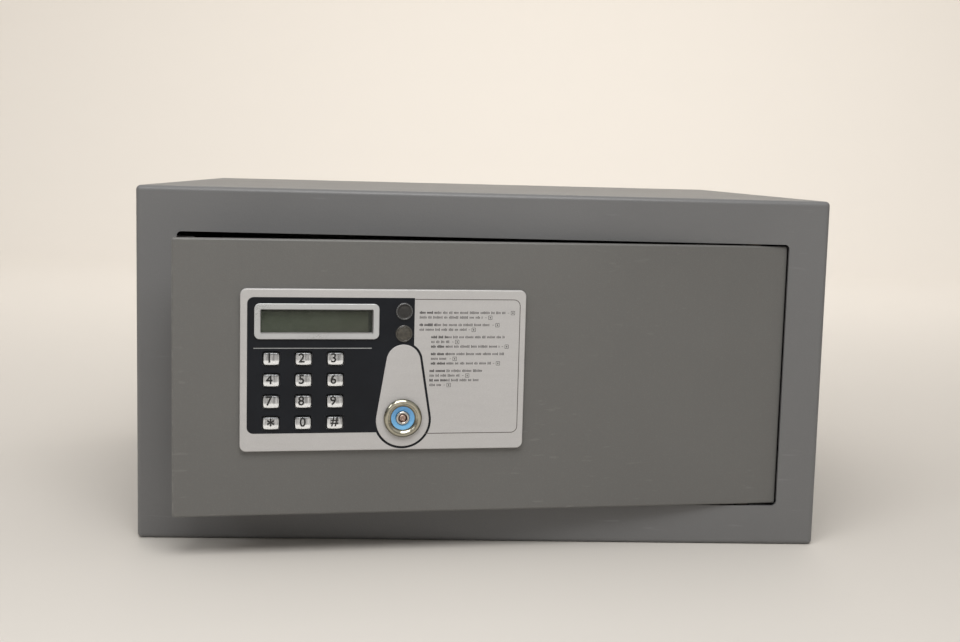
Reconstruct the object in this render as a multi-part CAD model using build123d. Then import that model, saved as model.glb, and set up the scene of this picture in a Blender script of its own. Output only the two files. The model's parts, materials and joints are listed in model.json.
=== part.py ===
from build123d import *
import math
import os

# An electronic safe with a hinged steel door, a keypad, a key lock and motor-driven bolts.
# Millimetres. The origin is the centre of the base anchor holes, on the underside.
# +X is to the right as seen from the front, +Y to the rear, +Z up; the front face looks along -Y.
# A depth is measured rearwards from the front face, with the door shut.

# How far a cut passes the face that it opens, and a joined piece enters the one it joins
overrun = 1.0
root_overlap = 0.2
same_place = 0.01

# Body
body_width = 390.0
body_depth = 330.0
body_height = 200.0
body_sheet = 2.0
body_fold_radius = 2.6
frame_top = 25.0
frame_bottom = 23.0
frame_side = 22.5
opening_corner = 2.5

# Anchor holes and floor mat
base_hole_spacing_x = 280.0
base_hole_spacing_y = 200.0
rear_hole_spacing = 280.0
anchor_hole_radius = 5.0
mat_thickness = 2.0
mat_margin = 3.0
mat_corner = 8.0
mat_hole_radius = 12.0

# Door plate
door_gap = 1.0
door_thickness = 4.0
door_corner = 1.5
door_edge_round = 1.1
door_ajar = 7.78
door_window_corner = 1.5
barrel_hole_clearance = 0.2
lens_hole_clearance = 1.0
fixing_hole_clearance = 0.3
tapped_hole_skin = 0.5

# Hinge
hinge_inset = 18.0
hinge_setback = 7.0
pin_radius = 2.5
pin_engagement = 16.0
pin_end_gap = 1.0
pin_head_radius = 4.0
pin_head_height = 1.5
hinge_running_clearance = 0.06
hinge_end_gap = 2.0
washer_gap = 0.2
washer_radius = 4.5
block_half_width = 8.0
block_rear_wall = 4.0
block_height = 26.0
bracket_thickness = 3.0
bracket_depth = 14.0
bracket_reach = 10.0
bracket_leg = 18.0

# Strike angle and buffers, behind the left side of the front frame
strike_sheet = 2.0
strike_offset = 2.0
strike_web_depth = 32.0
strike_end_margin = 2.0
strike_hole_clearance = 1.2
ear_length = 10.5
ear_height = 9.0
buffer_width = 7.0
buffer_height = 7.0
buffer_thickness = 2.6
buffer_gap = 0.3
buffer_inset = 0.5

# Lock case on the back of the door
case_sheet = 1.0
case_left_margin = 12.5
case_hinge_margin = 15.5
case_edge_margin = 6.0
case_back = 40.0
case_corner = 3.0
pillar_radius = 4.0
pillar_left_inset = 47.0
pillar_right_inset = 8.0
pillar_edge_inset = 8.0
pillar_tap_depth = 11.0
screw_end_gap = 1.0
case_screw_radius = 2.0
case_screw_head_radius = 3.9
case_screw_head_height = 2.0
case_screw_clearance = 0.2
case_bolt_clearance = 0.6

# Bolts and carriage
bolt_radius = 8.0
bolt_spacing = 94.0
bolt_length = 28.0
bolt_setback = 3.5
bolt_tip_chamfer = 1.4
bolt_depth = 14.0
bolt_throw = 12.0
bolt_clearance = 0.08
spigot_radius = 4.0
spigot_projection = 1.0
guide_sheet = 2.0
guide_case_gap = 1.0
guide_foot = 8.0
guide_depth = 22.0
guide_end_margin = 13.0
carriage_sheet = 2.0
carriage_depth = 22.0
carriage_bar_width = 16.0
carriage_bar_margin = 10.0
carriage_arm_height = 16.0
carriage_flange_front = 7.5
carriage_arm_beyond_pinion = 30.0

# Rack, pinion and motor
gear_module = 1.0
pinion_teeth = 18
pressure_angle = 20.0
gear_backlash = 0.12
gear_root_factor = 1.25
rack_teeth = 11
rack_teeth_left_of_pinion = 2.5
rack_above_lock = 12.3
pinion_from_drive_middle = -32.7
pinion_width = 4.0
pinion_shaft_radius = 2.0
pinion_shaft_length = 9.0
pinion_hub_length = 1.5
pinion_bore_end_gap = 0.5
pinion_running_clearance = 0.05
gearbox_width = 26.0
gearbox_height = 25.0
gearbox_depth = 15.0
gearbox_screw_inset = 3.0
gearbox_screw_radius = 2.2
gearbox_screw_rise = 1.0
motor_radius = 8.0
motor_length = 30.0
motor_standoff = 2.0
motor_boss_length = 2.0
terminal_length = 4.0
terminal_width = 2.0
terminal_thickness = 0.5
terminal_setback = 3.0
stud_left_offset = 26.0
stud_right_offset = 10.0
stud_radius = 2.5
stud_shoulder_radius = 4.5
stud_shoulder_gap = 0.3
stud_head_thickness = 1.7
slot_clearance = 0.1

# Faceplate and overlay
faceplate_width = 155.0
faceplate_height = 88.0
faceplate_from_left = 35.4
faceplate_from_bottom = 35.8
faceplate_thickness = 2.4
faceplate_corner = 3.5
faceplate_edge_round = 0.6
overlay_thickness = 0.25
overlay_from_left = 3.7
overlay_from_bottom = 9.8
overlay_width = 89.5
overlay_height = 73.7
overlay_corner = 3.5
fixing_inset = 3.4
fixing_radius = 1.6
fixing_clip_radius = 2.8
fixing_clip_thickness = 0.8

# Keys
key_columns = 3
key_rows = 4
key_pitch_x = 17.05
key_pitch_z = 11.63
key_from_left = 16.5
key_from_bottom = 15.75
key_width = 8.9
key_height = 7.1
key_corner = 1.4
key_round = 0.9
key_rise = 1.8
key_gap = 0.25
key_flange = 0.9
key_flange_thickness = 1.0
key_back_gap = 0.2
key_stem_radius = 1.8
key_stem_length = 0.6
key_travel = 0.8
dome_gap = 0.1
dome_land = 0.4
mat_base = 0.6
keypad_mat_margin = 1.0
keypad_mat_corner = 1.0

# Display
lcd_frame_width = 66.6
lcd_frame_height = 19.2
lcd_frame_from_left = 7.4
lcd_frame_from_top = 7.8
lcd_frame_corner = 3.0
lcd_frame_rise = 0.9
lcd_rim_side = 3.1
lcd_rim_edge = 3.0
lcd_window_corner = 1.0
lcd_window_thickness = 0.8
lcd_ledge = 0.4
lcd_module_margin = 2.0
lcd_window_fit = 0.05
lcd_glass_front = 0.3
lcd_glass_thickness = 1.0
lcd_module_corner = 0.8

# Lenses, lamps and key lock share one column
lock_column_from_left = 87.5
upper_lens_from_top = 11.8
lower_lens_from_top = 23.9
lens_radius = 4.6
lens_crown = 0.25
lens_edge = 0.3
lens_rise = 0.8
lens_stem_radius = 3.4
lens_back = -0.2
lamp_radius = 2.5
lamp_gap = 0.3
lock_from_bottom = 17.9
pear_top_from_bottom = 48.8
pear_drop = 1.4
pear_top_radius = 9.3
pear_bottom_radius = 14.5
pear_outline = 1.3
escutcheon_rise = 0.6
barrel_radius = 9.5
barrel_back = 24.0
bezel_radius = 10.4
bezel_rise = 2.7
bezel_lip = 1.3
bezel_lip_drop = 0.4
bezel_shoulder = 1.2
bezel_skirt = 0.9
collar_land = 0.4
recess_radius = 7.3
collar_thickness = 1.4
plug_radius = 3.75
plug_clearance = 0.08
plug_post_radius = 1.25
plug_set_back = 0.3
keyway_radius = 2.5
keyway_depth = 5.0
tail_radius = 2.8
tail_flat = 2.2
tail_clearance = 0.05
tail_end = 1.0
nut_across_flats = 24.0
nut_thickness = 4.0
cam_gap = 3.0
cam_thickness = 3.0
cam_half_width = 4.0
cam_hub_radius = 7.0
cam_reach = 28.0
cam_rest_angle = 150.0
cam_turn = 90.0
override_pin_radius = 2.5
override_pin_height = 18.0
override_pin_gap = 0.25
override_pin_projection = 1.0
cam_nut_radius = 4.8
cam_nut_thickness = 2.2

# Boards
board_thickness = 1.6
board_corner = 1.0
board_hole_clearance = 0.1
key_board_margin = 2.0
board_screw_radius = 1.5
board_screw_head_radius = 2.6
board_screw_head_height = 1.4
key_board_shelf_lap = 4.0
main_board_right_margin = 8.0
main_board_width = 78.0
main_board_pillar_gap = 1.0
main_board_standoff = 6.0
main_board_hole_inset = 4.0
main_board_corner = 2.0
spacer_radius = 3.0
ribbon_width = 14.0
ribbon_thickness = 0.8
ribbon_from_plate_bottom = 57.2
header_width = 6.0
header_height = 3.0
header_inset = 1.0
ribbon_bend = 8.0
ribbon_first_run = 12.0
ribbon_last_run = 24.0
chip_width = 14.0
chip_thickness = 1.6
chip_from_left = 26.0
chip_from_top = 8.0
capacitor_count = 3
capacitor_radius = 4.0
capacitor_height = 7.0
capacitor_pitch = 12.0
capacitor_from_left = 20.0
capacitor_from_bottom = 12.0
buzzer_radius = 7.0
buzzer_height = 6.0
buzzer_from_right = 16.0
buzzer_from_bottom = 14.0

# Battery compartment
cell_count = 4
cell_radius = 7.1
cell_length = 49.5
cell_nub_radius = 2.7
cell_nub_length = 1.0
cell_pitch = 14.8
cell_end_gap = 2.6
contact_thickness = 0.5
contact_half_width = 4.0
contact_tip_radius = 2.0
contact_gap = 0.1
cell_clearance = 0.2
cell_edge_round = 0.6
holder_wall = 1.6
holder_right_margin = 12.0
holder_depth = 17.0
holder_flange = 3.0
holder_flange_thickness = 1.5
cover_thickness = 2.0
cover_overlap = 4.0
cover_gap = 0.2
rail_gap = 0.3
rail_wall = 1.6
rail_lip = 2.0
cover_travel = 62.0
cover_corner = 1.5
ridge_count = 6
ridge_pitch = 3.0
ridge_width = 1.2
ridge_height = 0.8
ridge_half_length = 12.0
ridge_from_left = 8.0

# Places that follow from the sizes above
front_y = -body_depth / 2
opening_left = -body_width / 2 + frame_side
opening_right = body_width / 2 - frame_side
opening_bottom = frame_bottom
opening_top = body_height - frame_top
door_left = opening_left + door_gap
door_right = opening_right - door_gap
door_bottom = opening_bottom + door_gap
door_top = opening_top - door_gap
door_middle = (door_bottom + door_top) / 2
hinge_x = door_right - hinge_inset
hinge_y = front_y + hinge_setback

case_left = door_left + case_left_margin
case_right = hinge_x - case_hinge_margin
case_bottom = door_bottom + case_edge_margin
case_top = door_top - case_edge_margin
case_inner_back = case_back - case_sheet
pillar_places = [
    (x, z)
    for x in (case_left + pillar_left_inset, case_right - pillar_right_inset)
    for z in (case_bottom + pillar_edge_inset, case_top - pillar_edge_inset)
]

bolt_heights = [door_middle - bolt_spacing / 2, door_middle + bolt_spacing / 2]
bolt_tip = door_left + bolt_setback
bolt_rear = bolt_tip + bolt_length
guide_left = case_left + case_sheet + guide_case_gap
guide_bottom = bolt_heights[0] - guide_end_margin
guide_top = bolt_heights[1] + guide_end_margin
strike_left = opening_left - strike_offset - strike_sheet
carriage_back = carriage_depth + carriage_sheet

plate_left = door_left + faceplate_from_left
plate_bottom = door_bottom + faceplate_from_bottom
plate_right = plate_left + faceplate_width
plate_top = plate_bottom + faceplate_height
plate_front = -faceplate_thickness
pocket_floor = plate_front + overlay_thickness
overlay_left = plate_left + overlay_from_left
overlay_bottom = plate_bottom + overlay_from_bottom
overlay_right = overlay_left + overlay_width
overlay_top = overlay_bottom + overlay_height
fixing_places = [
    (x, z)
    for x in (plate_left + fixing_inset, plate_right - fixing_inset)
    for z in (plate_bottom + fixing_inset, plate_top - fixing_inset)
]

key_left_column = plate_left + key_from_left
key_bottom_row = plate_bottom + key_from_bottom
key_columns_x = [key_left_column + column * key_pitch_x for column in range(key_columns)]
key_rows_z = [key_bottom_row + row * key_pitch_z for row in reversed(range(key_rows))]
key_names = ["one", "two", "three", "four", "five", "six", "seven", "eight", "nine", "star", "zero", "hash"]
key_flange_back = key_back_gap + key_flange_thickness
key_hole_width = key_width + 2 * key_gap
key_hole_height = key_height + 2 * key_gap
dome_front = key_flange_back + key_stem_length + key_travel + dome_gap

lcd_frame_left = plate_left + lcd_frame_from_left
lcd_frame_top = plate_top - lcd_frame_from_top
lcd_x = lcd_frame_left + lcd_frame_width / 2
lcd_z = lcd_frame_top - lcd_frame_height / 2
lcd_window_width = lcd_frame_width - 2 * lcd_rim_side
lcd_window_height = lcd_frame_height - 2 * lcd_rim_edge
lcd_module_width = lcd_window_width + lcd_module_margin
lcd_module_height = lcd_window_height + lcd_module_margin

column_x = plate_left + lock_column_from_left
lens_heights = {"upper": plate_top - upper_lens_from_top, "lower": plate_top - lower_lens_from_top}
lock_z = plate_bottom + lock_from_bottom
pear_top_z = plate_bottom + pear_top_from_bottom
pear_bottom_z = lock_z - pear_drop
lock_seat = plate_front - escutcheon_rise
cam_front = barrel_back + cam_gap
cam_back = cam_front + cam_thickness
cam_end_angle = math.radians(cam_rest_angle - cam_turn)
override_pin_offset = (
    override_pin_height * math.cos(cam_end_angle) + cam_half_width + override_pin_radius + override_pin_gap
) / math.sin(cam_end_angle)
override_pin_x = column_x + override_pin_offset
override_pin_z = lock_z + override_pin_height

pinion_pitch_radius = gear_module * pinion_teeth / 2
pinion_x = (column_x + case_right) / 2 + pinion_from_drive_middle
carriage_arm_right = pinion_x + carriage_arm_beyond_pinion
rack_pitch_height = lock_z + rack_above_lock
pinion_z = rack_pitch_height - pinion_pitch_radius
rack_root = rack_pitch_height + gear_root_factor * gear_module
arm_middle = rack_root + carriage_arm_height / 2
gearbox_back = door_thickness + gearbox_depth
stud_places_x = [pinion_x - stud_left_offset, pinion_x + stud_right_offset]

# The door has one window behind the keys and the display, which the key board closes
window_left = min(key_columns_x[0] - key_width / 2 - key_flange, lcd_x - lcd_module_width / 2) - key_gap
window_right = lcd_x + lcd_module_width / 2 + key_gap
window_bottom = key_rows_z[-1] - key_height / 2 - key_flange - key_gap
window_top = lcd_z + lcd_module_height / 2 + key_gap
key_board_left = window_left - key_board_margin
key_board_step = column_x - barrel_radius - nut_thickness - key_board_margin
key_board_right = column_x + lens_radius + key_board_margin
key_board_bottom = window_bottom - 2 * key_board_margin - board_screw_head_radius
key_board_shelf = pear_top_z - pear_top_radius
key_board_top = window_top + key_board_margin + 2 * board_screw_head_radius
key_board_back = door_thickness + board_thickness
key_board_holes = [
    (x, z)
    for x in (window_left + board_screw_head_radius, window_right - 2 * board_screw_head_radius)
    for z in (key_board_bottom + board_screw_head_radius, key_board_top - board_screw_head_radius)
]

main_board_front = door_thickness + main_board_standoff
main_board_back = main_board_front + board_thickness
main_board_right = case_right - main_board_right_margin
main_board_left = main_board_right - main_board_width
main_board_bottom = case_bottom + pillar_edge_inset + pillar_radius + main_board_pillar_gap
main_board_top = case_top - pillar_edge_inset - pillar_radius - main_board_pillar_gap
ribbon_height = plate_bottom + ribbon_from_plate_bottom
main_board_holes = [
    (x, z)
    for x in (main_board_left + main_board_hole_inset, main_board_right - main_board_hole_inset)
    for z in (main_board_bottom + main_board_hole_inset, main_board_top - main_board_hole_inset)
]

bay_width = cell_count * cell_pitch
bay_length = cell_length + cell_nub_length + 2 * cell_end_gap
bay_right = case_right - holder_right_margin
bay_left = bay_right - bay_width
bay_bottom = door_middle - bay_length / 2
bay_top = door_middle + bay_length / 2
holder_front = case_inner_back - holder_depth
cell_depth = holder_front + holder_wall + cell_radius
cell_places = [bay_left + (index + 0.5) * cell_pitch for index in range(cell_count)]
cover_left = bay_left - cover_overlap
cover_right = bay_right + cover_overlap
cover_bottom = bay_bottom - cover_overlap
cover_top = bay_top + cover_overlap
cover_front = case_back + cover_gap
cover_back = cover_front + cover_thickness


def block(x0, x1, depth0, depth1, z0, z1):
    middle = Pos((x0 + x1) / 2, front_y + (depth0 + depth1) / 2, (z0 + z1) / 2)
    return middle * Box(x1 - x0, depth1 - depth0, z1 - z0)


def slab(x, z, width, height, depth0, depth1, corner):
    outline = Plane.XZ * RectangleRounded(width, height, corner)
    return Pos(x, front_y + depth0, z) * extrude(outline, amount=-(depth1 - depth0))


def panel(x0, x1, z0, z1, depth0, depth1, corner):
    return slab((x0 + x1) / 2, (z0 + z1) / 2, x1 - x0, z1 - z0, depth0, depth1, corner)


def rod(x, z, depth0, depth1, radius):
    middle = Pos(x, front_y + (depth0 + depth1) / 2, z)
    return middle * Rot(90, 0, 0) * Cylinder(radius, depth1 - depth0)


def post(x, depth, z0, z1, radius):
    return Pos(x, front_y + depth, (z0 + z1) / 2) * Cylinder(radius, z1 - z0)


def bar_along_x(depth, z, x0, x1, radius):
    return Pos((x0 + x1) / 2, front_y + depth, z) * Rot(0, 90, 0) * Cylinder(radius, x1 - x0)


def turned(x, z, profile):
    # profile: (radius, depth) pairs of a closed outline, turned about an axis along Y
    points = [Vector(radius, depth, 0) for radius, depth in profile]
    face = make_face(Polyline(*points, close=True))
    return Pos(x, front_y, z) * revolve(face, Axis.Y)


def group(solids):
    return Compound(list(solids))


def front_edges(shape, depth):
    level = front_y + depth
    return shape.edges().filter_by_position(Axis.Y, level - same_place, level + same_place)


def make_cabinet_shell():
    shell = Pos(0, 0, body_height / 2) * Box(body_width, body_depth, body_height)
    front = shell.faces().sort_by(Axis.Y)[0].edges()
    shell = fillet(shell.edges().filter_by(Axis.Y) + front, body_fold_radius)
    shell -= block(
        -body_width / 2 + body_sheet,
        body_width / 2 - body_sheet,
        body_sheet,
        body_depth,
        body_sheet,
        body_height - body_sheet,
    )
    shell -= panel(
        opening_left,
        opening_right,
        opening_bottom,
        opening_top,
        -overrun,
        body_sheet + overrun,
        opening_corner,
    )
    for x in (-base_hole_spacing_x / 2, base_hole_spacing_x / 2):
        for y in (-base_hole_spacing_y / 2, base_hole_spacing_y / 2):
            shell -= Pos(x, y, body_sheet / 2) * Cylinder(anchor_hole_radius, 2 * body_sheet)
    return shell


def make_back_panel():
    plate = block(
        -body_width / 2 + body_sheet,
        body_width / 2 - body_sheet,
        body_depth - body_sheet,
        body_depth,
        body_sheet,
        body_height - body_sheet,
    )
    for x in (-rear_hole_spacing / 2, rear_hole_spacing / 2):
        plate -= rod(x,
        body_height / 2,
        body_depth - 2 * body_sheet,
        body_depth + overrun,
        anchor_hole_radius),
    return plate


def make_floor_mat():
    width = body_width - 2 * body_sheet - 2 * mat_margin
    length = body_depth - 2 * body_sheet - 2 * mat_margin
    mat = Pos(0, 0, body_sheet) * extrude(RectangleRounded(width, length, mat_corner), amount=mat_thickness)
    for x in (-base_hole_spacing_x / 2, base_hole_spacing_x / 2):
        for y in (-base_hole_spacing_y / 2, base_hole_spacing_y / 2):
            mat -= Pos(x, y, body_sheet) * Cylinder(mat_hole_radius, 4 * mat_thickness)
    return mat


def make_hinge_bracket(upper):
    # an angle welded to the frame and the side wall, outside the door's height
    side = body_width / 2 - body_sheet
    if upper:
        tab_low = door_top + hinge_end_gap
        tab_high = tab_low + bracket_thickness
        leg_low, leg_high = tab_low, tab_low + bracket_leg
    else:
        tab_high = door_bottom - hinge_end_gap
        tab_low = tab_high - bracket_thickness
        leg_low, leg_high = tab_high - bracket_leg + body_sheet, tab_high
    tab = block(hinge_x - bracket_reach, side, body_sheet, bracket_depth, tab_low, tab_high)
    tab = fillet(tab.edges().filter_by(Axis.Z).group_by(Axis.X)[0].sort_by(Axis.Y)[-1], bracket_reach / 2)
    leg = block(side - bracket_thickness, side, body_sheet, bracket_depth, leg_low, leg_high)
    return tab + leg - post(hinge_x, hinge_setback, tab_low - overrun, tab_high + overrun, pin_radius)


def make_hinge_pins():
    upper_seat = door_top + hinge_end_gap + bracket_thickness
    lower_seat = door_bottom - hinge_end_gap - bracket_thickness
    upper = post(hinge_x, hinge_setback, door_top - pin_engagement + pin_end_gap, upper_seat, pin_radius)
    upper += post(hinge_x, hinge_setback, upper_seat, upper_seat + pin_head_height, pin_head_radius)
    lower = post(hinge_x, hinge_setback, lower_seat, door_bottom + pin_engagement - pin_end_gap, pin_radius)
    lower += post(hinge_x, hinge_setback, lower_seat - pin_head_height, lower_seat, pin_head_radius)
    return group([upper, lower])


def make_hinge_washers():
    washers = []
    for seat, inward in ((door_top + hinge_end_gap, -1), (door_bottom - hinge_end_gap, 1)):
        edge = seat + inward * (hinge_end_gap - washer_gap)
        low, high = min(seat, edge), max(seat, edge)
        ring = post(hinge_x, hinge_setback, low, high, washer_radius)
        ring -= post(
            hinge_x, hinge_setback, low - overrun, high + overrun, pin_radius + hinge_running_clearance
        )
        washers.append(ring)
    return group(washers)


def make_hinge_blocks():
    blocks = []
    block_back = hinge_setback + pin_radius + block_rear_wall
    for low, high, bore_low, bore_high in (
        (door_top - block_height, door_top, door_top - pin_engagement, door_top + overrun),
        (door_bottom, door_bottom + block_height, door_bottom - overrun, door_bottom + pin_engagement),
    ):
        lug = block(
            hinge_x - block_half_width, hinge_x + block_half_width, door_thickness, block_back, low, high
        )
        rear = lug.edges().filter_by(Axis.Z).group_by(Axis.Y)[-1]
        lug = chamfer(rear, block_rear_wall / 2)
        lug -= post(hinge_x, hinge_setback, bore_low, bore_high, pin_radius + hinge_running_clearance)
        blocks.append(lug)
    return group(blocks)


def ear_heights():
    inset = strike_end_margin + ear_height / 2
    return door_bottom + inset, door_top - inset


def make_strike_angle():
    low, high = door_bottom + strike_end_margin, door_top - strike_end_margin
    web_right = strike_left + strike_sheet
    web_back = body_sheet + strike_web_depth
    foot_left = -body_width / 2 + body_sheet
    strike = block(strike_left, web_right, body_sheet, web_back, low, high)
    strike += block(foot_left, web_right, body_sheet, body_sheet + strike_sheet, low, high)
    hole_radius = bolt_radius + strike_hole_clearance
    for z in bolt_heights:
        strike -= bar_along_x(bolt_depth, z, foot_left, web_right + overrun, hole_radius)
    ear_front = door_thickness + buffer_gap + buffer_thickness
    for z in ear_heights():
        low, high = z - ear_height / 2, z + ear_height / 2
        strike += block(strike_left, web_right + ear_length, ear_front, ear_front + strike_sheet, low, high)
    return strike


def make_door_buffers():
    front = door_thickness + buffer_gap
    right = strike_left + strike_sheet + ear_length - buffer_inset
    buffers = []
    for z in ear_heights():
        pad = panel(
            right - buffer_width,
            right,
            z - buffer_height / 2,
            z + buffer_height / 2,
            front,
            front + buffer_thickness,
            buffer_width / 4,
        )
        buffers.append(fillet(front_edges(pad, front), buffer_thickness / 4))
    return group(buffers)


def pear(margin):
    # two circles joined by their common tangents, in the plane of the faceplate
    top = Pos(column_x, pear_top_z) * Circle(pear_top_radius + margin)
    bottom = Pos(column_x, pear_bottom_z) * Circle(pear_bottom_radius + margin)
    return make_hull(top.edges() + bottom.edges())


def raise_outline(outline, depth0, depth1):
    return Pos(0, front_y + depth0, 0) * extrude(Plane.XZ * outline, amount=-(depth1 - depth0))


def overlay_outline():
    middle_x = (overlay_left + overlay_right) / 2
    middle_z = (overlay_bottom + overlay_top) / 2
    field = Pos(middle_x, middle_z) * Rectangle(overlay_width, overlay_height)
    field = fillet(field.vertices().group_by(Axis.X)[0], overlay_corner)
    return field + pear(pear_outline) - pear(0)


def make_door_plate():
    plate = panel(door_left, door_right, door_bottom, door_top, 0, door_thickness, door_corner)
    plate = fillet(front_edges(plate, 0), door_edge_round)
    plate -= panel(
        window_left, window_right, window_bottom, window_top, -overrun, door_thickness + overrun,
        door_window_corner,
    )
    plate -= rod(
        column_x, lock_z, -overrun, door_thickness + overrun, barrel_radius + barrel_hole_clearance
    )
    for z in lens_heights.values():
        plate -= rod(
            column_x, z, -overrun, door_thickness + overrun, lens_stem_radius + lens_hole_clearance
        )
    for x, z in fixing_places:
        plate -= rod(x, z, -overrun, door_thickness + overrun, fixing_radius + fixing_hole_clearance)
    for x, z in key_board_holes:
        plate -= rod(x, z, tapped_hole_skin, door_thickness + overrun, board_screw_radius)
    return plate


def make_case_pillars():
    pillars = []
    for x, z in pillar_places:
        pillar = rod(x, z, door_thickness, case_inner_back, pillar_radius)
        pillar -= rod(
            x, z, case_inner_back - pillar_tap_depth, case_inner_back + overrun, case_screw_radius
        )
        pillars.append(pillar)
    return group(pillars)


def make_case_screws():
    screws = []
    for x, z in pillar_places:
        tip = case_inner_back - pillar_tap_depth + screw_end_gap
        shank = rod(x, z, tip, case_back, case_screw_radius)
        head = rod(x, z, case_back, case_back + case_screw_head_height, case_screw_head_radius)
        head = fillet(head.edges().group_by(Axis.Y)[-1], case_screw_head_height / 2)
        screws.append(shank + head)
    return group(screws)


def make_lock_case():
    case = panel(case_left, case_right, case_bottom, case_top, door_thickness, case_back, case_corner)
    case = fillet(case.edges().group_by(Axis.Y)[-1], case_corner)
    case -= panel(
        case_left + case_sheet,
        case_right - case_sheet,
        case_bottom + case_sheet,
        case_top - case_sheet,
        door_thickness - overrun,
        case_inner_back,
        case_corner - case_sheet,
    )
    for z in bolt_heights:
        case -= bar_along_x(
            bolt_depth,
            z,
            case_left - overrun,
            case_left + 2 * case_sheet,
            bolt_radius + case_bolt_clearance,
        )
    case -= block(bay_left, bay_right, case_inner_back - overrun, case_back + overrun, bay_bottom, bay_top)
    for x, z in pillar_places:
        case -= rod(
            x, z, case_inner_back - overrun, case_back + overrun, case_screw_radius + case_screw_clearance
        )
    # two undercut rails and an end stop hold the battery cover
    rail_left = cover_left - cover_travel
    rail_right = cover_right + rail_gap
    lip_front = cover_back + rail_gap
    lip_back = lip_front + case_sheet
    for edge, outward in ((cover_top, 1), (cover_bottom, -1)):
        inner = edge + outward * rail_gap
        outer = inner + outward * rail_wall
        tip = edge - outward * rail_lip
        case += block(
            rail_left, rail_right, case_inner_back, lip_back, min(inner, outer), max(inner, outer)
        )
        case += block(rail_left, rail_right, lip_front, lip_back, min(tip, outer), max(tip, outer))
    low, high = cover_bottom - rail_gap - rail_wall, cover_top + rail_gap + rail_wall
    case += block(rail_right, rail_right + rail_wall, case_inner_back, lip_back, low, high)
    return case


def make_bolt_guide():
    web_right = guide_left + guide_sheet
    guide = block(
        guide_left, web_right, door_thickness, door_thickness + guide_depth, guide_bottom, guide_top
    )
    guide += block(
        guide_left,
        web_right + guide_foot,
        door_thickness,
        door_thickness + guide_sheet,
        guide_bottom,
        guide_top,
    )
    for z in bolt_heights:
        guide -= bar_along_x(bolt_depth, z, guide_left - overrun, web_right, bolt_radius + bolt_clearance)
    return guide


def make_bolt(z):
    shaft = bar_along_x(bolt_depth, z, bolt_tip, bolt_rear, bolt_radius)
    shaft = chamfer(shaft.edges().group_by(Axis.X)[0], bolt_tip_chamfer)
    return shaft + bar_along_x(
        bolt_depth, z, bolt_rear, bolt_rear + carriage_sheet + spigot_projection, spigot_radius
    )


def make_rack_tooth(x):
    slope = math.tan(math.radians(pressure_angle))
    half = math.pi * gear_module / 4 - gear_backlash / 2
    root_half = half + slope * gear_root_factor * gear_module
    tip_half = half - slope * gear_module
    tip_z = rack_pitch_height - gear_module
    outline = Polyline(
        (x - root_half, rack_root + root_overlap),
        (x - root_half, rack_root),
        (x - tip_half, tip_z),
        (x + tip_half, tip_z),
        (x + root_half, rack_root),
        (x + root_half, rack_root + root_overlap),
        close=True,
    )
    return raise_outline(make_face(outline), carriage_depth, carriage_back)


def make_bolt_carriage():
    bar_low = bolt_heights[0] - carriage_bar_margin
    bar_high = bolt_heights[1] + carriage_bar_margin
    bar_right = bolt_rear + carriage_bar_width
    arm_top = rack_root + carriage_arm_height
    plate = block(bolt_rear, bar_right, carriage_depth, carriage_back, bar_low, bar_high)
    plate += block(
        bar_right - root_overlap, carriage_arm_right, carriage_depth, carriage_back, rack_root, arm_top
    )
    inner_corners = plate.edges().filter_by(Axis.Y).filter_by_position(
        Axis.X, bar_right - root_overlap / 2, bar_right + root_overlap
    )
    inner_corners = inner_corners.filter_by_position(Axis.Z, bar_low + overrun, bar_high - overrun)
    plate = fillet(inner_corners, carriage_arm_height / 4)
    plate += block(
        bolt_rear, bolt_rear + carriage_sheet, carriage_flange_front, carriage_back, bar_low, bar_high
    )
    for z in bolt_heights:
        plate -= bar_along_x(
            bolt_depth,
            z,
            bolt_rear - overrun,
            bolt_rear + carriage_sheet + spigot_projection,
            spigot_radius,
        )
    slot_half = stud_radius + slot_clearance
    for stud_x in stud_places_x:
        plate -= panel(
            stud_x - slot_half,
            stud_x + bolt_throw + slot_half,
            arm_middle - slot_half,
            arm_middle + slot_half,
            carriage_depth - overrun,
            carriage_back + overrun,
            stud_radius,
        )
    pitch = math.pi * gear_module
    first = pinion_x - rack_teeth_left_of_pinion * pitch
    for index in range(rack_teeth):
        plate += make_rack_tooth(first + index * pitch)
    plate += rod(
        override_pin_x,
        override_pin_z,
        carriage_back - root_overlap,
        cam_back + override_pin_projection,
        override_pin_radius,
    )
    return plate


def make_guide_studs():
    studs = []
    for x in stud_places_x:
        shoulder, head = carriage_depth - stud_shoulder_gap, carriage_back + stud_shoulder_gap
        stud = rod(x, arm_middle, door_thickness, shoulder, stud_shoulder_radius)
        stud += rod(x, arm_middle, shoulder, head, stud_radius)
        stud += rod(x, arm_middle, head, head + stud_head_thickness, stud_shoulder_radius)
        studs.append(stud)
    return group(studs)


def involute(angle):
    return math.tan(angle) - angle


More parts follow.
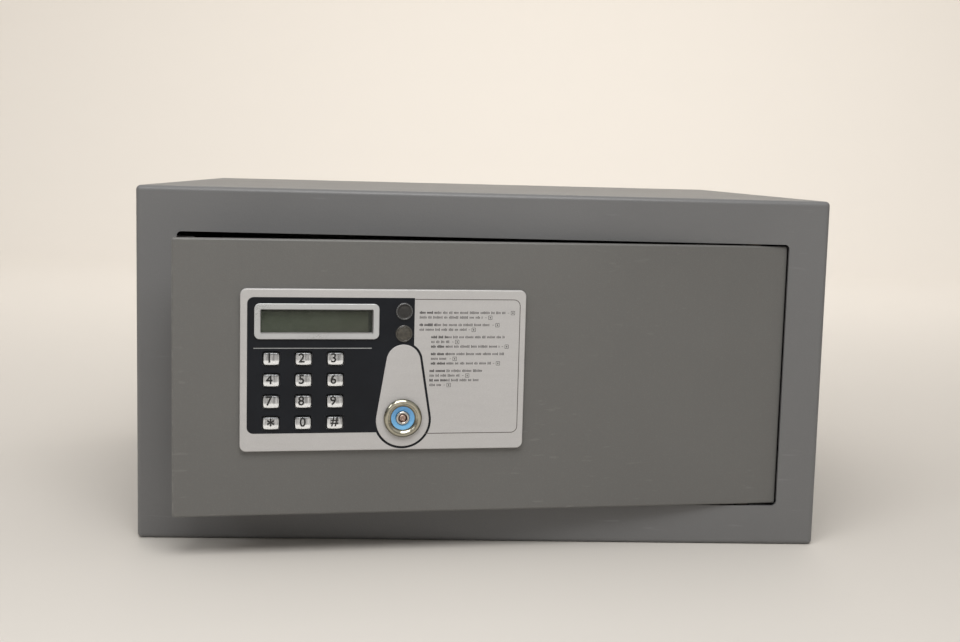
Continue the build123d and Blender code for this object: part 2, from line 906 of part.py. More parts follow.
def make_drive_pinion():
    base = pinion_pitch_radius * math.cos(math.radians(pressure_angle))
    root = pinion_pitch_radius - gear_root_factor * gear_module
    tip = pinion_pitch_radius + gear_module
    pitch_half = math.pi / (2 * pinion_teeth) - gear_backlash / (4 * pinion_pitch_radius)
    flank_steps = 4
    base_half = pitch_half + involute(math.radians(pressure_angle))
    flank = [(root, base_half)]
    for step in range(flank_steps + 1):
        radius = base + (tip - base) * step / flank_steps
        flank.append((radius, base_half - involute(math.acos(base / radius))))
    outline = []
    for tooth in range(pinion_teeth):
        centre = math.pi / 2 - tooth * 2 * math.pi / pinion_teeth
        for radius, half in flank:
            outline.append((radius * math.cos(centre + half), radius * math.sin(centre + half)))
        for radius, half in reversed(flank):
            outline.append((radius * math.cos(centre - half), radius * math.sin(centre - half)))
    centre_depth = (carriage_depth + carriage_back) / 2
    wheel = raise_outline(
        Pos(pinion_x, pinion_z) * make_face(Polyline(*outline, close=True)),
        centre_depth - pinion_width / 2,
        centre_depth + pinion_width / 2,
    )
    wheel_back = centre_depth + pinion_width / 2
    wheel += rod(pinion_x, pinion_z, wheel_back, wheel_back + pinion_hub_length, pinion_pitch_radius / 2)
    wheel += rod(pinion_x, pinion_z, gearbox_back - pinion_shaft_length, wheel_back, pinion_shaft_radius)
    return wheel


def make_gearbox():
    left = pinion_x - gearbox_width / 2
    top = pinion_z + gearbox_height / 2
    box = block(left, left + gearbox_width, door_thickness, gearbox_back, top - gearbox_height, top)
    box = fillet(box.edges().filter_by(Axis.Y), gearbox_height / 12)
    for x in (left + gearbox_screw_inset, left + gearbox_width - gearbox_screw_inset):
        for z in (top - gearbox_screw_inset, top - gearbox_height + gearbox_screw_inset):
            box += rod(
                x, z, gearbox_back - root_overlap, gearbox_back + gearbox_screw_rise, gearbox_screw_radius
            )
    bore_end = gearbox_back - pinion_shaft_length - pinion_bore_end_gap
    return box - rod(
        pinion_x, pinion_z, bore_end, gearbox_back + overrun, pinion_shaft_radius + pinion_running_clearance
    )


def make_motor():
    top = pinion_z - gearbox_height / 2
    depth = door_thickness + motor_standoff + motor_radius
    can = post(pinion_x, depth, top - motor_length, top, motor_radius)
    can = fillet(can.edges().group_by(Axis.Z)[0], motor_radius / 6)
    end = top - motor_length
    can += post(pinion_x, depth, end - motor_boss_length, end + root_overlap, motor_radius / 3)
    for offset in (-motor_radius / 2, motor_radius / 2):
        left, right = pinion_x + offset - terminal_width / 2, pinion_x + offset + terminal_width / 2
        front = depth + terminal_setback
        can += block(
            left, right, front, front + terminal_thickness, end - terminal_length, end + root_overlap
        )
    return can


def make_faceplate():
    plate = panel(plate_left, plate_right, plate_bottom, plate_top, plate_front, 0, faceplate_corner)
    plate = fillet(front_edges(plate, plate_front), faceplate_edge_round)
    plate -= raise_outline(overlay_outline(), plate_front - overrun, pocket_floor)
    for x in key_columns_x:
        for z in key_rows_z:
            plate -= slab(x, z, key_hole_width, key_hole_height, plate_front - overrun, overrun, key_corner)
    opening_width = lcd_window_width - 2 * lcd_ledge
    opening_height = lcd_window_height - 2 * lcd_ledge
    plate -= slab(
        lcd_x, lcd_z, opening_width, opening_height, plate_front - overrun, overrun, lcd_window_corner / 2
    )
    for z in lens_heights.values():
        plate -= rod(column_x, z, plate_front - overrun, overrun, lens_stem_radius + slot_clearance)
    plate -= rod(column_x, lock_z, plate_front - overrun, overrun, barrel_radius + slot_clearance)
    for x, z in fixing_places:
        plate += rod(x, z, -root_overlap, door_thickness + 2 * fixing_clip_thickness, fixing_radius)
    return plate


def make_faceplate_clips():
    clips = []
    for x, z in fixing_places:
        back = door_thickness + fixing_clip_thickness
        clip = rod(x, z, door_thickness, back, fixing_clip_radius)
        clips.append(clip - rod(x, z, door_thickness - overrun, back + overrun, fixing_radius))
    return group(clips)


def make_keypad_overlay():
    sheet = raise_outline(overlay_outline(), plate_front, pocket_floor)
    front, back = plate_front - overrun, pocket_floor + overrun
    for x in key_columns_x:
        for z in key_rows_z:
            sheet -= slab(x, z, key_hole_width, key_hole_height, front, back, key_corner)
    sheet -= slab(lcd_x, lcd_z, lcd_frame_width, lcd_frame_height, front, back, lcd_frame_corner)
    for z in lens_heights.values():
        sheet -= rod(column_x, z, front, back, lens_radius)
    return sheet


def make_key(column, row):
    x, z = key_columns_x[column], key_rows_z[row]
    front = plate_front - key_rise
    cap = slab(x, z, key_width, key_height, front, key_back_gap, key_corner)
    cap = fillet(front_edges(cap, front), key_round)
    flange_width, flange_height = key_width + 2 * key_flange, key_height + 2 * key_flange
    cap += slab(x, z, flange_width, flange_height, key_back_gap, key_flange_back, key_corner)
    return cap + rod(x, z, key_flange_back, key_flange_back + key_stem_length, key_stem_radius)


def make_keypad_mat():
    sheet = panel(
        window_left + keypad_mat_margin,
        key_columns_x[-1] + key_width / 2 + key_flange,
        window_bottom + keypad_mat_margin,
        key_rows_z[0] + key_height / 2,
        door_thickness - mat_base,
        door_thickness,
        keypad_mat_corner,
    )
    for x in key_columns_x:
        for z in key_rows_z:
            dome = [
                (0, dome_front),
                (key_stem_radius + dome_land, dome_front),
                (key_height / 2, door_thickness - mat_base),
                (key_height / 2, door_thickness - mat_base / 2),
                (0, door_thickness - mat_base / 2),
            ]
            sheet += turned(x, z, dome)
    return sheet


def make_key_board():
    board = panel(
        key_board_left,
        key_board_step,
        key_board_bottom,
        key_board_top,
        door_thickness,
        key_board_back,
        board_corner,
    )
    shelf_left = key_board_step - key_board_shelf_lap
    board += panel(
        shelf_left,
        key_board_right,
        key_board_shelf,
        key_board_top,
        door_thickness,
        key_board_back,
        board_corner,
    )
    for x, z in key_board_holes:
        board -= rod(
            x,
            z,
            door_thickness - overrun,
            key_board_back + overrun,
            board_screw_radius + board_hole_clearance,
        )
    header_right = key_board_right - header_inset
    board += block(
        header_right - header_width,
        header_right,
        key_board_back - root_overlap,
        key_board_back + header_height,
        ribbon_height - ribbon_width / 2,
        ribbon_height + ribbon_width / 2,
    )
    return board


def make_main_board():
    board = panel(
        main_board_left,
        main_board_right,
        main_board_bottom,
        main_board_top,
        main_board_front,
        main_board_back,
        main_board_corner,
    )
    for x, z in main_board_holes:
        board -= rod(
            x,
            z,
            main_board_front - overrun,
            main_board_back + overrun,
            board_screw_radius + board_hole_clearance,
        )
    root = main_board_back - root_overlap
    header_left, header_low = main_board_left + header_inset, ribbon_height - ribbon_width / 2
    header_back = main_board_back + header_height
    board += block(
        header_left, header_left + header_width, root, header_back, header_low, header_low + ribbon_width
    )
    chip_left, chip_low = main_board_left + chip_from_left, main_board_top - chip_from_top - chip_width
    chip_back = main_board_back + chip_thickness
    board += block(chip_left, chip_left + chip_width, root, chip_back, chip_low, chip_low + chip_width)
    for index in range(capacitor_count):
        x = main_board_left + capacitor_from_left + capacitor_pitch * index
        z = main_board_bottom + capacitor_from_bottom
        board += rod(x, z, root, main_board_back + capacitor_height, capacitor_radius)
    buzzer_x, buzzer_z = main_board_right - buzzer_from_right, main_board_bottom + buzzer_from_bottom
    return board + rod(buzzer_x, buzzer_z, root, main_board_back + buzzer_height, buzzer_radius)


def make_board_spacers():
    spacers = []
    for x, z in main_board_holes:
        spacer = rod(x, z, door_thickness, main_board_front, spacer_radius)
        spacers.append(
            spacer - rod(x, z, door_thickness - overrun, main_board_front + overrun, board_screw_radius)
        )
    return group(spacers)


def make_board_screws():
    screws = []
    places = [(x, z, tapped_hole_skin + screw_end_gap, key_board_back) for x, z in key_board_holes]
    places += [(x, z, door_thickness + screw_end_gap, main_board_back) for x, z in main_board_holes]
    for x, z, tip, seat in places:
        screw = rod(x, z, tip, seat, board_screw_radius)
        screws.append(screw + rod(x, z, seat, seat + board_screw_head_height, board_screw_head_radius))
    return group(screws)


def make_ribbon_cable():
    start_x, start = key_board_right - header_inset, key_board_back + header_height / 2
    end_x, end = main_board_left + header_inset, main_board_back + header_height / 2
    route = FilletPolyline(
        (start_x, front_y + start),
        (start_x + ribbon_first_run, front_y + start),
        (end_x - ribbon_last_run, front_y + end),
        (end_x, front_y + end),
        radius=ribbon_bend,
    )
    strip = trace(route, line_width=ribbon_thickness)
    return Pos(0, 0, ribbon_height - ribbon_width / 2) * extrude(strip, amount=ribbon_width)


def make_lcd_frame():
    front = plate_front - lcd_frame_rise
    rim = slab(lcd_x, lcd_z, lcd_frame_width, lcd_frame_height, front, pocket_floor, lcd_frame_corner)
    rim = fillet(front_edges(rim, front), lcd_frame_rise / 2)
    return rim - slab(
        lcd_x,
        lcd_z,
        lcd_window_width,
        lcd_window_height,
        front - overrun,
        pocket_floor + overrun,
        lcd_window_corner,
    )


def make_lcd_window():
    return slab(
        lcd_x,
        lcd_z,
        lcd_window_width - 2 * lcd_window_fit,
        lcd_window_height - 2 * lcd_window_fit,
        pocket_floor - lcd_window_thickness,
        pocket_floor,
        lcd_window_corner,
    )


def make_lcd_module():
    body_front = lcd_glass_front + lcd_glass_thickness
    module = slab(
        lcd_x, lcd_z, lcd_module_width, lcd_module_height, body_front, door_thickness, lcd_module_corner
    )
    width, height = lcd_module_width - lcd_module_margin / 2, lcd_module_height - lcd_module_margin / 2
    glass_back = body_front + root_overlap
    return module + slab(lcd_x, lcd_z, width, height, lcd_glass_front, glass_back, lcd_module_corner / 2)


def make_lens(z):
    front = plate_front - lens_rise
    profile = [
        (0, front - lens_crown),
        (lens_radius * 0.45, front - lens_crown * 0.8),
        (lens_radius * 0.8, front - lens_crown * 0.2),
        (lens_radius, front + lens_edge),
        (lens_radius, pocket_floor),
        (lens_stem_radius, pocket_floor),
        (lens_stem_radius, lens_back),
        (0, lens_back),
    ]
    return turned(column_x, z, profile)


def make_indicator_lamps():
    lamps = []
    for z in lens_heights.values():
        shoulder = lens_back + lamp_gap + lamp_radius
        lamp = rod(column_x, z, shoulder, door_thickness, lamp_radius)
        dome = Pos(column_x, front_y + shoulder, z) * Sphere(lamp_radius)
        dome &= block(
            column_x - lamp_radius,
            column_x + lamp_radius,
            shoulder - lamp_radius,
            shoulder + root_overlap,
            z - lamp_radius,
            z + lamp_radius,
        )
        lamps.append(lamp + dome)
    return group(lamps)


def make_lock_escutcheon():
    plate = raise_outline(pear(0), lock_seat, plate_front)
    plate = fillet(front_edges(plate, lock_seat), escutcheon_rise / 2)
    return plate - rod(
        column_x, lock_z, lock_seat - overrun, plate_front + overrun, barrel_radius + slot_clearance
    )


def make_lock_barrel():
    top = lock_seat - bezel_rise
    bore = plug_radius + plug_clearance
    profile = [
        (bore, lock_seat),
        (recess_radius, lock_seat),
        (recess_radius, lock_seat - collar_thickness - collar_land),
        (recess_radius + bezel_lip - bezel_lip_drop, top + bezel_lip_drop / 4),
        (recess_radius + bezel_lip, top),
        (bezel_radius - bezel_shoulder, top + bezel_lip_drop / 2),
        (bezel_radius - bezel_lip_drop, top + bezel_skirt),
        (bezel_radius, lock_seat - bezel_skirt),
        (bezel_radius, lock_seat),
        (barrel_radius, lock_seat),
        (barrel_radius, barrel_back),
        (bore, barrel_back),
    ]
    return turned(column_x, lock_z, profile)


def make_lock_collar():
    front = lock_seat - collar_thickness
    ring = rod(column_x, lock_z, front, lock_seat, recess_radius - plug_clearance)
    return ring - rod(
        column_x, lock_z, front - overrun, lock_seat + overrun, plug_radius + 2 * plug_clearance
    )


def make_lock_nut():
    hexagon = Pos(column_x, lock_z) * RegularPolygon(nut_across_flats / 2, 6, major_radius=False)
    nut = raise_outline(hexagon, door_thickness, door_thickness + nut_thickness)
    return nut - rod(
        column_x, lock_z, door_thickness - overrun, door_thickness + nut_thickness + overrun, barrel_radius
    )


def tail_section(clearance):
    # a round shank with two flats, which turns the cam
    radius, flat = tail_radius + clearance, tail_flat + clearance
    return Pos(column_x, lock_z) * (Circle(radius) & Rectangle(2 * flat, 2 * radius))


def make_lock_plug():
    face = lock_seat - collar_thickness - plug_set_back
    keyway_end = face + keyway_depth
    plug = rod(column_x, lock_z, face, barrel_back + 2 * plug_clearance, plug_radius)
    plug -= rod(column_x, lock_z, face - overrun, keyway_end, keyway_radius)
    plug += rod(column_x, lock_z, face + plug_set_back, keyway_end + root_overlap, plug_post_radius)
    plug += rod(column_x, lock_z, barrel_back + plug_clearance, cam_front, cam_nut_radius)
    return plug + raise_outline(tail_section(0), cam_front, cam_back + cam_nut_thickness + tail_end)


def make_lock_cam():
    arm = Pos(cam_reach / 2, 0) * SlotOverall(cam_reach + 2 * cam_half_width, 2 * cam_half_width)
    outline = Circle(cam_hub_radius) + Pos(-cam_half_width / 2, 0) * arm
    outline = Pos(column_x, lock_z) * Rot(0, 0, cam_rest_angle) * outline
    cam = raise_outline(outline, cam_front, cam_back)
    return cam - raise_outline(tail_section(tail_clearance), cam_front - overrun, cam_back + overrun)


def make_cam_nut():
    hexagon = Pos(column_x, lock_z) * RegularPolygon(cam_nut_radius, 6, major_radius=False)
    nut_back = cam_back + cam_nut_thickness
    nut = raise_outline(hexagon, cam_back, nut_back)
    return nut - raise_outline(tail_section(tail_clearance), cam_back - overrun, nut_back + overrun)


def make_battery_holder():
    left, right = bay_left - holder_wall, bay_right + holder_wall
    low, high = bay_bottom - holder_wall, bay_top + holder_wall
    tray = block(left, right, holder_front, case_inner_back, low, high)
    flange_front = case_inner_back - holder_flange_thickness
    tray += block(
        left - holder_flange,
        right + holder_flange,
        flange_front,
        case_inner_back,
        low - holder_flange,
        high + holder_flange,
    )
    tray -= block(bay_left, bay_right, cell_depth, case_inner_back + overrun, bay_bottom, bay_top)
    for x in cell_places:
        tray -= Pos(x, front_y + cell_depth, door_middle) * Cylinder(
            cell_radius + cell_clearance, bay_length
        )
    return tray


def make_batteries():
    cells = []
    for index, x in enumerate(cell_places):
        up = 1 if index % 2 == 0 else -1
        nub_from = up * cell_length / 2
        nub_to = nub_from + up * cell_nub_length
        centre = door_middle - up * cell_nub_length / 2
        cell = post(x, cell_depth, centre - cell_length / 2, centre + cell_length / 2, cell_radius)
        cell = fillet(cell.edges().filter_by(GeomType.CIRCLE), cell_edge_round)
        low, high = sorted((centre + nub_from, centre + nub_to))
        cells.append(cell + post(x, cell_depth, low, high, cell_nub_radius))
    return group(cells)


def make_battery_contacts():
    contacts = []
    inner = bay_length / 2
    for x in cell_places:
        for side in (-1, 1):
            wall = door_middle + side * inner
            foot = wall - side * contact_thickness
            tip = wall - side * (cell_end_gap - contact_gap)
            left, right = x - contact_half_width, x + contact_half_width
            front, back = cell_depth - contact_half_width, cell_depth + contact_half_width
            leaf = block(left, right, front, back, min(wall, foot), max(wall, foot))
            leaf += post(x, cell_depth, min(foot, tip), max(foot, tip), contact_tip_radius)
            contacts.append(leaf)
    return group(contacts)


def make_battery_cover():
    cover = panel(cover_left, cover_right, cover_bottom, cover_top, cover_front, cover_back, cover_corner)
    root, crest = cover_back - root_overlap, cover_back + ridge_height
    low, high = door_middle - ridge_half_length, door_middle + ridge_half_length
    for index in range(ridge_count):
        x = cover_left + ridge_from_left + ridge_pitch * index
        cover += block(x, x + ridge_width, root, crest, low, high)
    return cover


def on_door(shape):
    # turns a piece that is modelled with the door shut about the hinge, to stand ajar
    return Pos(hinge_x, hinge_y, 0) * Rot(0, 0, door_ajar) * Pos(-hinge_x, -hinge_y, 0) * shape


cabinet_pieces = {
    "cabinet_shell": make_cabinet_shell(),
    "back_panel": make_back_panel(),
    "floor_mat": make_floor_mat(),
    "upper_hinge_bracket": make_hinge_bracket(upper=True),
    "lower_hinge_bracket": make_hinge_bracket(upper=False),
    "hinge_pins": make_hinge_pins(),
    "hinge_washers": make_hinge_washers(),
    "strike_angle": make_strike_angle(),
    "door_buffers": make_door_buffers(),
}

door_pieces = {
    "door_plate": make_door_plate(),
    "hinge_blocks": make_hinge_blocks(),
    "case_pillars": make_case_pillars(),
    "lock_case": make_lock_case(),
    "case_screws": make_case_screws(),
    "bolt_guide": make_bolt_guide(),
    "faceplate": make_faceplate(),
    "faceplate_clips": make_faceplate_clips(),
    "keypad_overlay": make_keypad_overlay(),
    "lcd_frame": make_lcd_frame(),
    "lcd_window": make_lcd_window(),
    "lcd_module": make_lcd_module(),
    "upper_lens": make_lens(lens_heights["upper"]),
    "lower_lens": make_lens(lens_heights["lower"]),
    "indicator_lamps": make_indicator_lamps(),
    "lock_escutcheon": make_lock_escutcheon(),
    "lock_barrel": make_lock_barrel(),
    "lock_collar": make_lock_collar(),
    "lock_nut": make_lock_nut(),
    "lock_plug": make_lock_plug(),
    "lock_cam": make_lock_cam(),
    "cam_nut": make_cam_nut(),
    "key_board": make_key_board(),
    "keypad_mat": make_keypad_mat(),
    "main_board": make_main_board(),
    "board_spacers": make_board_spacers(),
    "board_screws": make_board_screws(),
    "ribbon_cable": make_ribbon_cable(),
    "battery_holder": make_battery_holder(),
    "batteries": make_batteries(),
    "battery_contacts": make_battery_contacts(),
    "battery_cover": make_battery_cover(),
    "gearbox": make_gearbox(),
    "motor": make_motor(),
    "guide_studs": make_guide_studs(),
    "bolt_carriage": make_bolt_carriage(),
    "lower_bolt": make_bolt(bolt_heights[0]),
    "upper_bolt": make_bolt(bolt_heights[1]),
    "drive_pinion": make_drive_pinion(),
}
for index, name in enumerate(key_names):
    door_pieces["key_" + name] = make_key(index % key_columns, index // key_columns)

os.makedirs("parts", exist_ok=True)
for name, shape in cabinet_pieces.items():
    export_step(shape, f"parts/{name}.step")
for name, shape in door_pieces.items():
    export_step(on_door(shape), f"parts/{name}.step")
print(len(cabinet_pieces) + len(door_pieces), "pieces written")
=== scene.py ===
import bpy
import bmesh
import json
import math
import random
from mathutils import Matrix, Vector


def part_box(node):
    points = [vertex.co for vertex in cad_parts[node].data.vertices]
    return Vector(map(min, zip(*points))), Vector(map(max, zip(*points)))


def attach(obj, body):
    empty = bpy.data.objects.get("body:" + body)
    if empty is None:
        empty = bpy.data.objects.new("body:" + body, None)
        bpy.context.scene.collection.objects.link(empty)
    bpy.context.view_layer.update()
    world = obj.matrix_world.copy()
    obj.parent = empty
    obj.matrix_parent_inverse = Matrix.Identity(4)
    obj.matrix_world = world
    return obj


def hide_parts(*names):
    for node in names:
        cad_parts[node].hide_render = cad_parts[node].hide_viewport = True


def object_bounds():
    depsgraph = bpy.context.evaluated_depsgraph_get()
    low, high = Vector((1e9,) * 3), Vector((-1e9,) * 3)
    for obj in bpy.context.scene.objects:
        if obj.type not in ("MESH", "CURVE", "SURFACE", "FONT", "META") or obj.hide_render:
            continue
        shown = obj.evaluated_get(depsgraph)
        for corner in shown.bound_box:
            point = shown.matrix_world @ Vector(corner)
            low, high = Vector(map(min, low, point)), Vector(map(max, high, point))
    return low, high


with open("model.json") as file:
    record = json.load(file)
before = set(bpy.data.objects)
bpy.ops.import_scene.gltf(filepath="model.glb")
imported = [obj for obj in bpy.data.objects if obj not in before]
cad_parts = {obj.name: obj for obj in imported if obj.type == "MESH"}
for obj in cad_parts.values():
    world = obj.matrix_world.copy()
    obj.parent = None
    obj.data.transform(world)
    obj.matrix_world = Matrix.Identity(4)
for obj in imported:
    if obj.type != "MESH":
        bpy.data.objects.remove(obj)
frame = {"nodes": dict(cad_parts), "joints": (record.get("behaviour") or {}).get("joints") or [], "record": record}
cadNodes = frame["nodes"]
cadBox = [list(corner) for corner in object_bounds()]
print("frame loaded:", len(cadNodes), "nodes")

mm = 0.001

# The door stands ajar, so its pieces are drawn with the door shut and then turned about the hinge
doorHinge = next(joint for joint in frame["joints"] if joint["name"] == "door_hinge")
hingePlace = Vector(doorHinge["pos_m"])
ajar = math.radians(-doorHinge["range_deg"][0])
onDoor = Matrix.Translation(hingePlace) @ Matrix.Rotation(ajar, 4, "Z") @ Matrix.Translation(-hingePlace)
offDoor = onDoor.inverted()
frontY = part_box("cabinet_shell")[0].y


def shutBox(name):
    # lowest and highest corner of a door node with the door shut
    places = [offDoor @ vertex.co for vertex in cadNodes[name].data.vertices]
    return [Vector([pick(place[axis] for place in places) for axis in range(3)]) for pick in (min, max)]


def middleOf(low, high):
    # the middle of a box, seen from the front
    return (low.x + high.x) / 2, (low.z + high.z) / 2


def depthOf(y):
    # millimetres behind the front of the cabinet
    return (y - frontY) / mm


def turnedBox(node):
    # front, back and radius in millimetres, and the centre, of a door node turned about an axis along Y
    low, high = shutBox(node)
    return depthOf(low.y), depthOf(high.y), (high.x - low.x) / 2 / mm, middleOf(low, high)


# Materials: each helper adds its node to the tree that its socket belongs to

def newMaterial(name):
    material = bpy.data.materials.new(name)
    material.use_nodes = True
    return material, material.node_tree, material.node_tree.nodes["Principled BSDF"]


def addNode(tree, kind, values=None, **settings):
    made = tree.nodes.new(kind)
    for key, value in settings.items():
        setattr(made, key, value)
    for key, value in (values or {}).items():
        made.inputs[key].default_value = value
    return made


def nodeFrom(source, kind, goal, values=None, **settings):
    # a new node with a socket linked into one of its inputs
    made = addNode(source.id_data, kind, values, **settings)
    source.id_data.links.new(source, made.inputs[goal])
    return made


def objectPlace(tree, stretch=(1, 1, 1)):
    place = addNode(tree, "ShaderNodeTexCoord").outputs["Object"]
    return nodeFrom(place, "ShaderNodeMapping", "Vector", {"Scale": stretch}).outputs["Vector"]


def coordinates(tree, output="Object", uvMap=None):
    # the separate coordinates of a place, or of the piece's own UV map
    if uvMap:
        place = addNode(tree, "ShaderNodeUVMap", uv_map=uvMap).outputs["UV"]
    else:
        place = addNode(tree, "ShaderNodeTexCoord").outputs[output]
    return nodeFrom(place, "ShaderNodeSeparateXYZ", "Vector").outputs


def noise(where, scale, detail, roughness=0.5):
    values = {"Scale": scale, "Detail": detail, "Roughness": roughness}
    return nodeFrom(where, "ShaderNodeTexNoise", "Vector", values).outputs["Fac"]


def spread(value, low, high, fromLow=0.3, fromHigh=0.7):
    limits = {"From Min": fromLow, "From Max": fromHigh, "To Min": low, "To Max": high}
    return nodeFrom(value, "ShaderNodeMapRange", "Value", limits).outputs["Result"]


def mask(tree, scale, limits, low=0, high=1, stretch=(1, 1, 1), detail=2, roughness=0.5):
    # goes from low to high as a noise goes from one limit to the other
    return spread(noise(objectPlace(tree, stretch), scale, detail, roughness), low, high, *limits)


def mixColours(factor, first, second):
    made = nodeFrom(factor, "ShaderNodeMix", "Factor", data_type="RGBA")
    for key, value in (("A", first), ("B", second)):
        socket = next(s for s in made.inputs if s.name == key and s.type == "RGBA")
        if isinstance(value, tuple):
            socket.default_value = (*value, 1)
        else:
            factor.id_data.links.new(value, socket)
    return next(s for s in made.outputs if s.type == "RGBA")


def calculate(operation, first, second=None, clamp=False):
    made = nodeFrom(first, "ShaderNodeMath", 0, operation=operation, use_clamp=clamp)
    if isinstance(second, (int, float)):
        made.inputs[1].default_value = second
    elif second is not None:
        first.id_data.links.new(second, made.inputs[1])
    return made.outputs["Value"]


def multiply(first, second, clamp=False):
    return calculate("MULTIPLY", first, second, clamp)


def between(value, rise, fall, high=1):
    # goes up to its height between the limits of the rise, and down again between those of the fall
    return multiply(spread(value, 0, high, *rise), spread(value, 1, 0, *fall))


def bump(height, strength, depth):
    # relief of the surface, with its depth in millimetres
    made = nodeFrom(height, "ShaderNodeBump", "Height", {"Strength": strength, "Distance": depth * mm})
    shader = height.id_data.nodes["Principled BSDF"]
    height.id_data.links.new(made.outputs["Normal"], shader.inputs["Normal"])


def shade(colour, factor):
    return tuple(channel * factor for channel in colour)


def finish(name, colour, metallic=0, roughness=0.5, tone=0.08, cloud=25, grain=900, stretch=(1, 1, 1),
           relief=0.15, depth=0.05, roughSpread=0.08, sockets=None, over=None, **values):
    # one surface: a cloudy tone, a fine grain that the relief bumps, and a roughness that varies with both;
    # where a surface has more colours, its own function lays them over the tone
    cloudDetail, grainDetail, half = 4.0, 2.0, 0.5
    material, tree, shader = newMaterial(name)
    clouds = noise(objectPlace(tree), cloud, cloudDetail)
    fine = noise(objectPlace(tree, stretch), grain, grainDetail)
    toned = mixColours(spread(clouds, 0, 1), shade(colour, 1 - tone), shade(colour, 1 + tone))
    blended = calculate("ADD", multiply(clouds, half), multiply(fine, half))
    varied = spread(blended, roughness - roughSpread, roughness + roughSpread)
    if relief:
        bump(fine, relief, depth)
    if over:
        toned = over(tree, toned, dict(values, colour=colour))
    tree.links.new(toned, shader.inputs["Base Color"])
    tree.links.new(varied, shader.inputs["Roughness"])
    for socket, value in dict(sockets or {}, Metallic=metallic).items():
        shader.inputs[socket].default_value = value
    return material


# Plain finishes, by the slot of the CAD pieces that they dress, or by their own name
looks = {
    "plated_steel": dict(
        name="zincPlate", colour=(0.56, 0.56, 0.54), metallic=1, roughness=0.34, tone=0.12, cloud=140,
        grain=1500, relief=0.2, depth=0.03),
    # the hinge washers are near black so that, seen through the hinge gap, they read as shade: painted shade
    "washer_brass": dict(
        name="oiledBronze", colour=(0.085, 0.062, 0.038), metallic=0.8, tone=0.2, grain=2200,
        stretch=(1, 1, 6)),
    "gear_brass": dict(
        name="cutBrass", colour=(0.70, 0.52, 0.25), metallic=1, roughness=0.3, tone=0.12, grain=1800),
    "buffer_rubber": dict(
        name="blackRubber", colour=(0.022, 0.022, 0.022), roughness=0.72, tone=0.25, grain=1400, relief=0.4,
        depth=0.06),
    "overlay_black": dict(
        name="blackFilm", colour=(0.0085, 0.0100, 0.0135), roughness=0.42, tone=0.12, cloud=60, grain=2400,
        relief=0.25, depth=0.02, roughSpread=0.05, sockets={"Specular IOR Level": 0.22}),
    "display_bezel": dict(
        name="displayRim", colour=(0.545, 0.555, 0.56), metallic=0.35, roughness=0.32, tone=0.05, grain=2000,
        relief=0.1, depth=0.02),
    "display_glass": dict(
        name="clearWindow", colour=(0.020, 0.024, 0.020), roughness=0.07, tone=0.02, cloud=40, grain=600,
        relief=0.02, depth=0.01, roughSpread=0.03,
        sockets={"Alpha": 0.12, "IOR": 1.49, "Specular IOR Level": 0.6}),
    "lamp_epoxy": dict(
        name="lampEpoxy", colour=(0.65, 0.58, 0.45), roughness=0.12, tone=0.05, sockets={"IOR": 1.5}),
    "keypad_rubber": dict(
        name="siliconeMat", colour=(0.30, 0.30, 0.29), roughness=0.6, tone=0.06, grain=1500, relief=0.2),
    "black_plastic": dict(
        name="mouldedBlack", colour=(0.020, 0.020, 0.021), tone=0.15, grain=1700, relief=0.55, depth=0.06),
    "cable_grey": dict(
        name="flatCable", colour=(0.36, 0.37, 0.39), roughness=0.45, tone=0.05, grain=700,
        stretch=(0.02, 0.02, 1), relief=0.8, depth=0.3),
    "contact_nickel": dict(
        name="springContact", colour=(0.66, 0.65, 0.60), metallic=1, roughness=0.26, grain=2500),
    # a darker, redder metal for the keyway: its darkness in the recess is painted shade
    "keywayDark": dict(
        name="keywayDark", colour=(0.46, 0.345, 0.30), metallic=0.9, roughness=0.34, tone=0.35, cloud=900,
        grain=2400, relief=0.3),
    "plugNickel": dict(
        name="plugNickel", colour=(0.56, 0.545, 0.51), metallic=1, roughness=0.16, tone=0.10, cloud=700,
        grain=2600, depth=0.03)}
ink = dict(grain=2500, relief=0.1)
looks["inkDark"] = dict(ink, name="inkDark", colour=(0.050, 0.047, 0.047), roughness=0.55, tone=0.15)
looks["inkLine"] = dict(ink, name="inkLine", colour=(0.105, 0.092, 0.085), tone=0.1)
looks["inkPale"] = dict(ink, name="inkPale", colour=(0.38, 0.39, 0.39), roughness=0.45)
looks["inkBlack"] = dict(ink, name="inkBlack", colour=(0.010, 0.010, 0.010), roughness=0.4, tone=0.15)


def nearEdge(tree, box, reach):
    # 1 on the edges of a box, falling to 0 at the given reach: two of the three distances are small there
    place = coordinates(tree)
    distances = []
    for axis, letter in enumerate("XYZ"):
        offsets = [calculate("SUBTRACT", place[letter], side[axis]) for side in box]
        distances.append(calculate("MINIMUM", *[calculate("ABSOLUTE", offset) for offset in offsets]))
    x, y, z = distances
    pairs = [calculate("MAXIMUM", *pair) for pair in ((x, y), (y, z), (x, z))]
    nearest = calculate("MINIMUM", calculate("MINIMUM", pairs[0], pairs[1]), pairs[2])
    return spread(nearest, 1, 0, 0, reach)


def paintedSteel(tree, toned, values):
    # powder coat: edges that handling has polished and thinned, specks and hairline scuffs
    rubbed = nearEdge(tree, values["box"], values["wearReach"] * mm)
    worn = multiply(rubbed, mask(tree, **values["wearNoise"]), clamp=True)
    scuffs = multiply(mask(tree, **values["scuffNoise"]), mask(tree, **values["placeNoise"]))
    for factor, paler in (
            (multiply(worn, values["wear"]), values["wearShade"]),
            (mask(tree, **values["speckNoise"]), values["speckShade"]),
            (multiply(scuffs, values["scuff"]), values["scuffShade"])):
        toned = mixColours(factor, toned, shade(values["colour"], paler))
    return toned


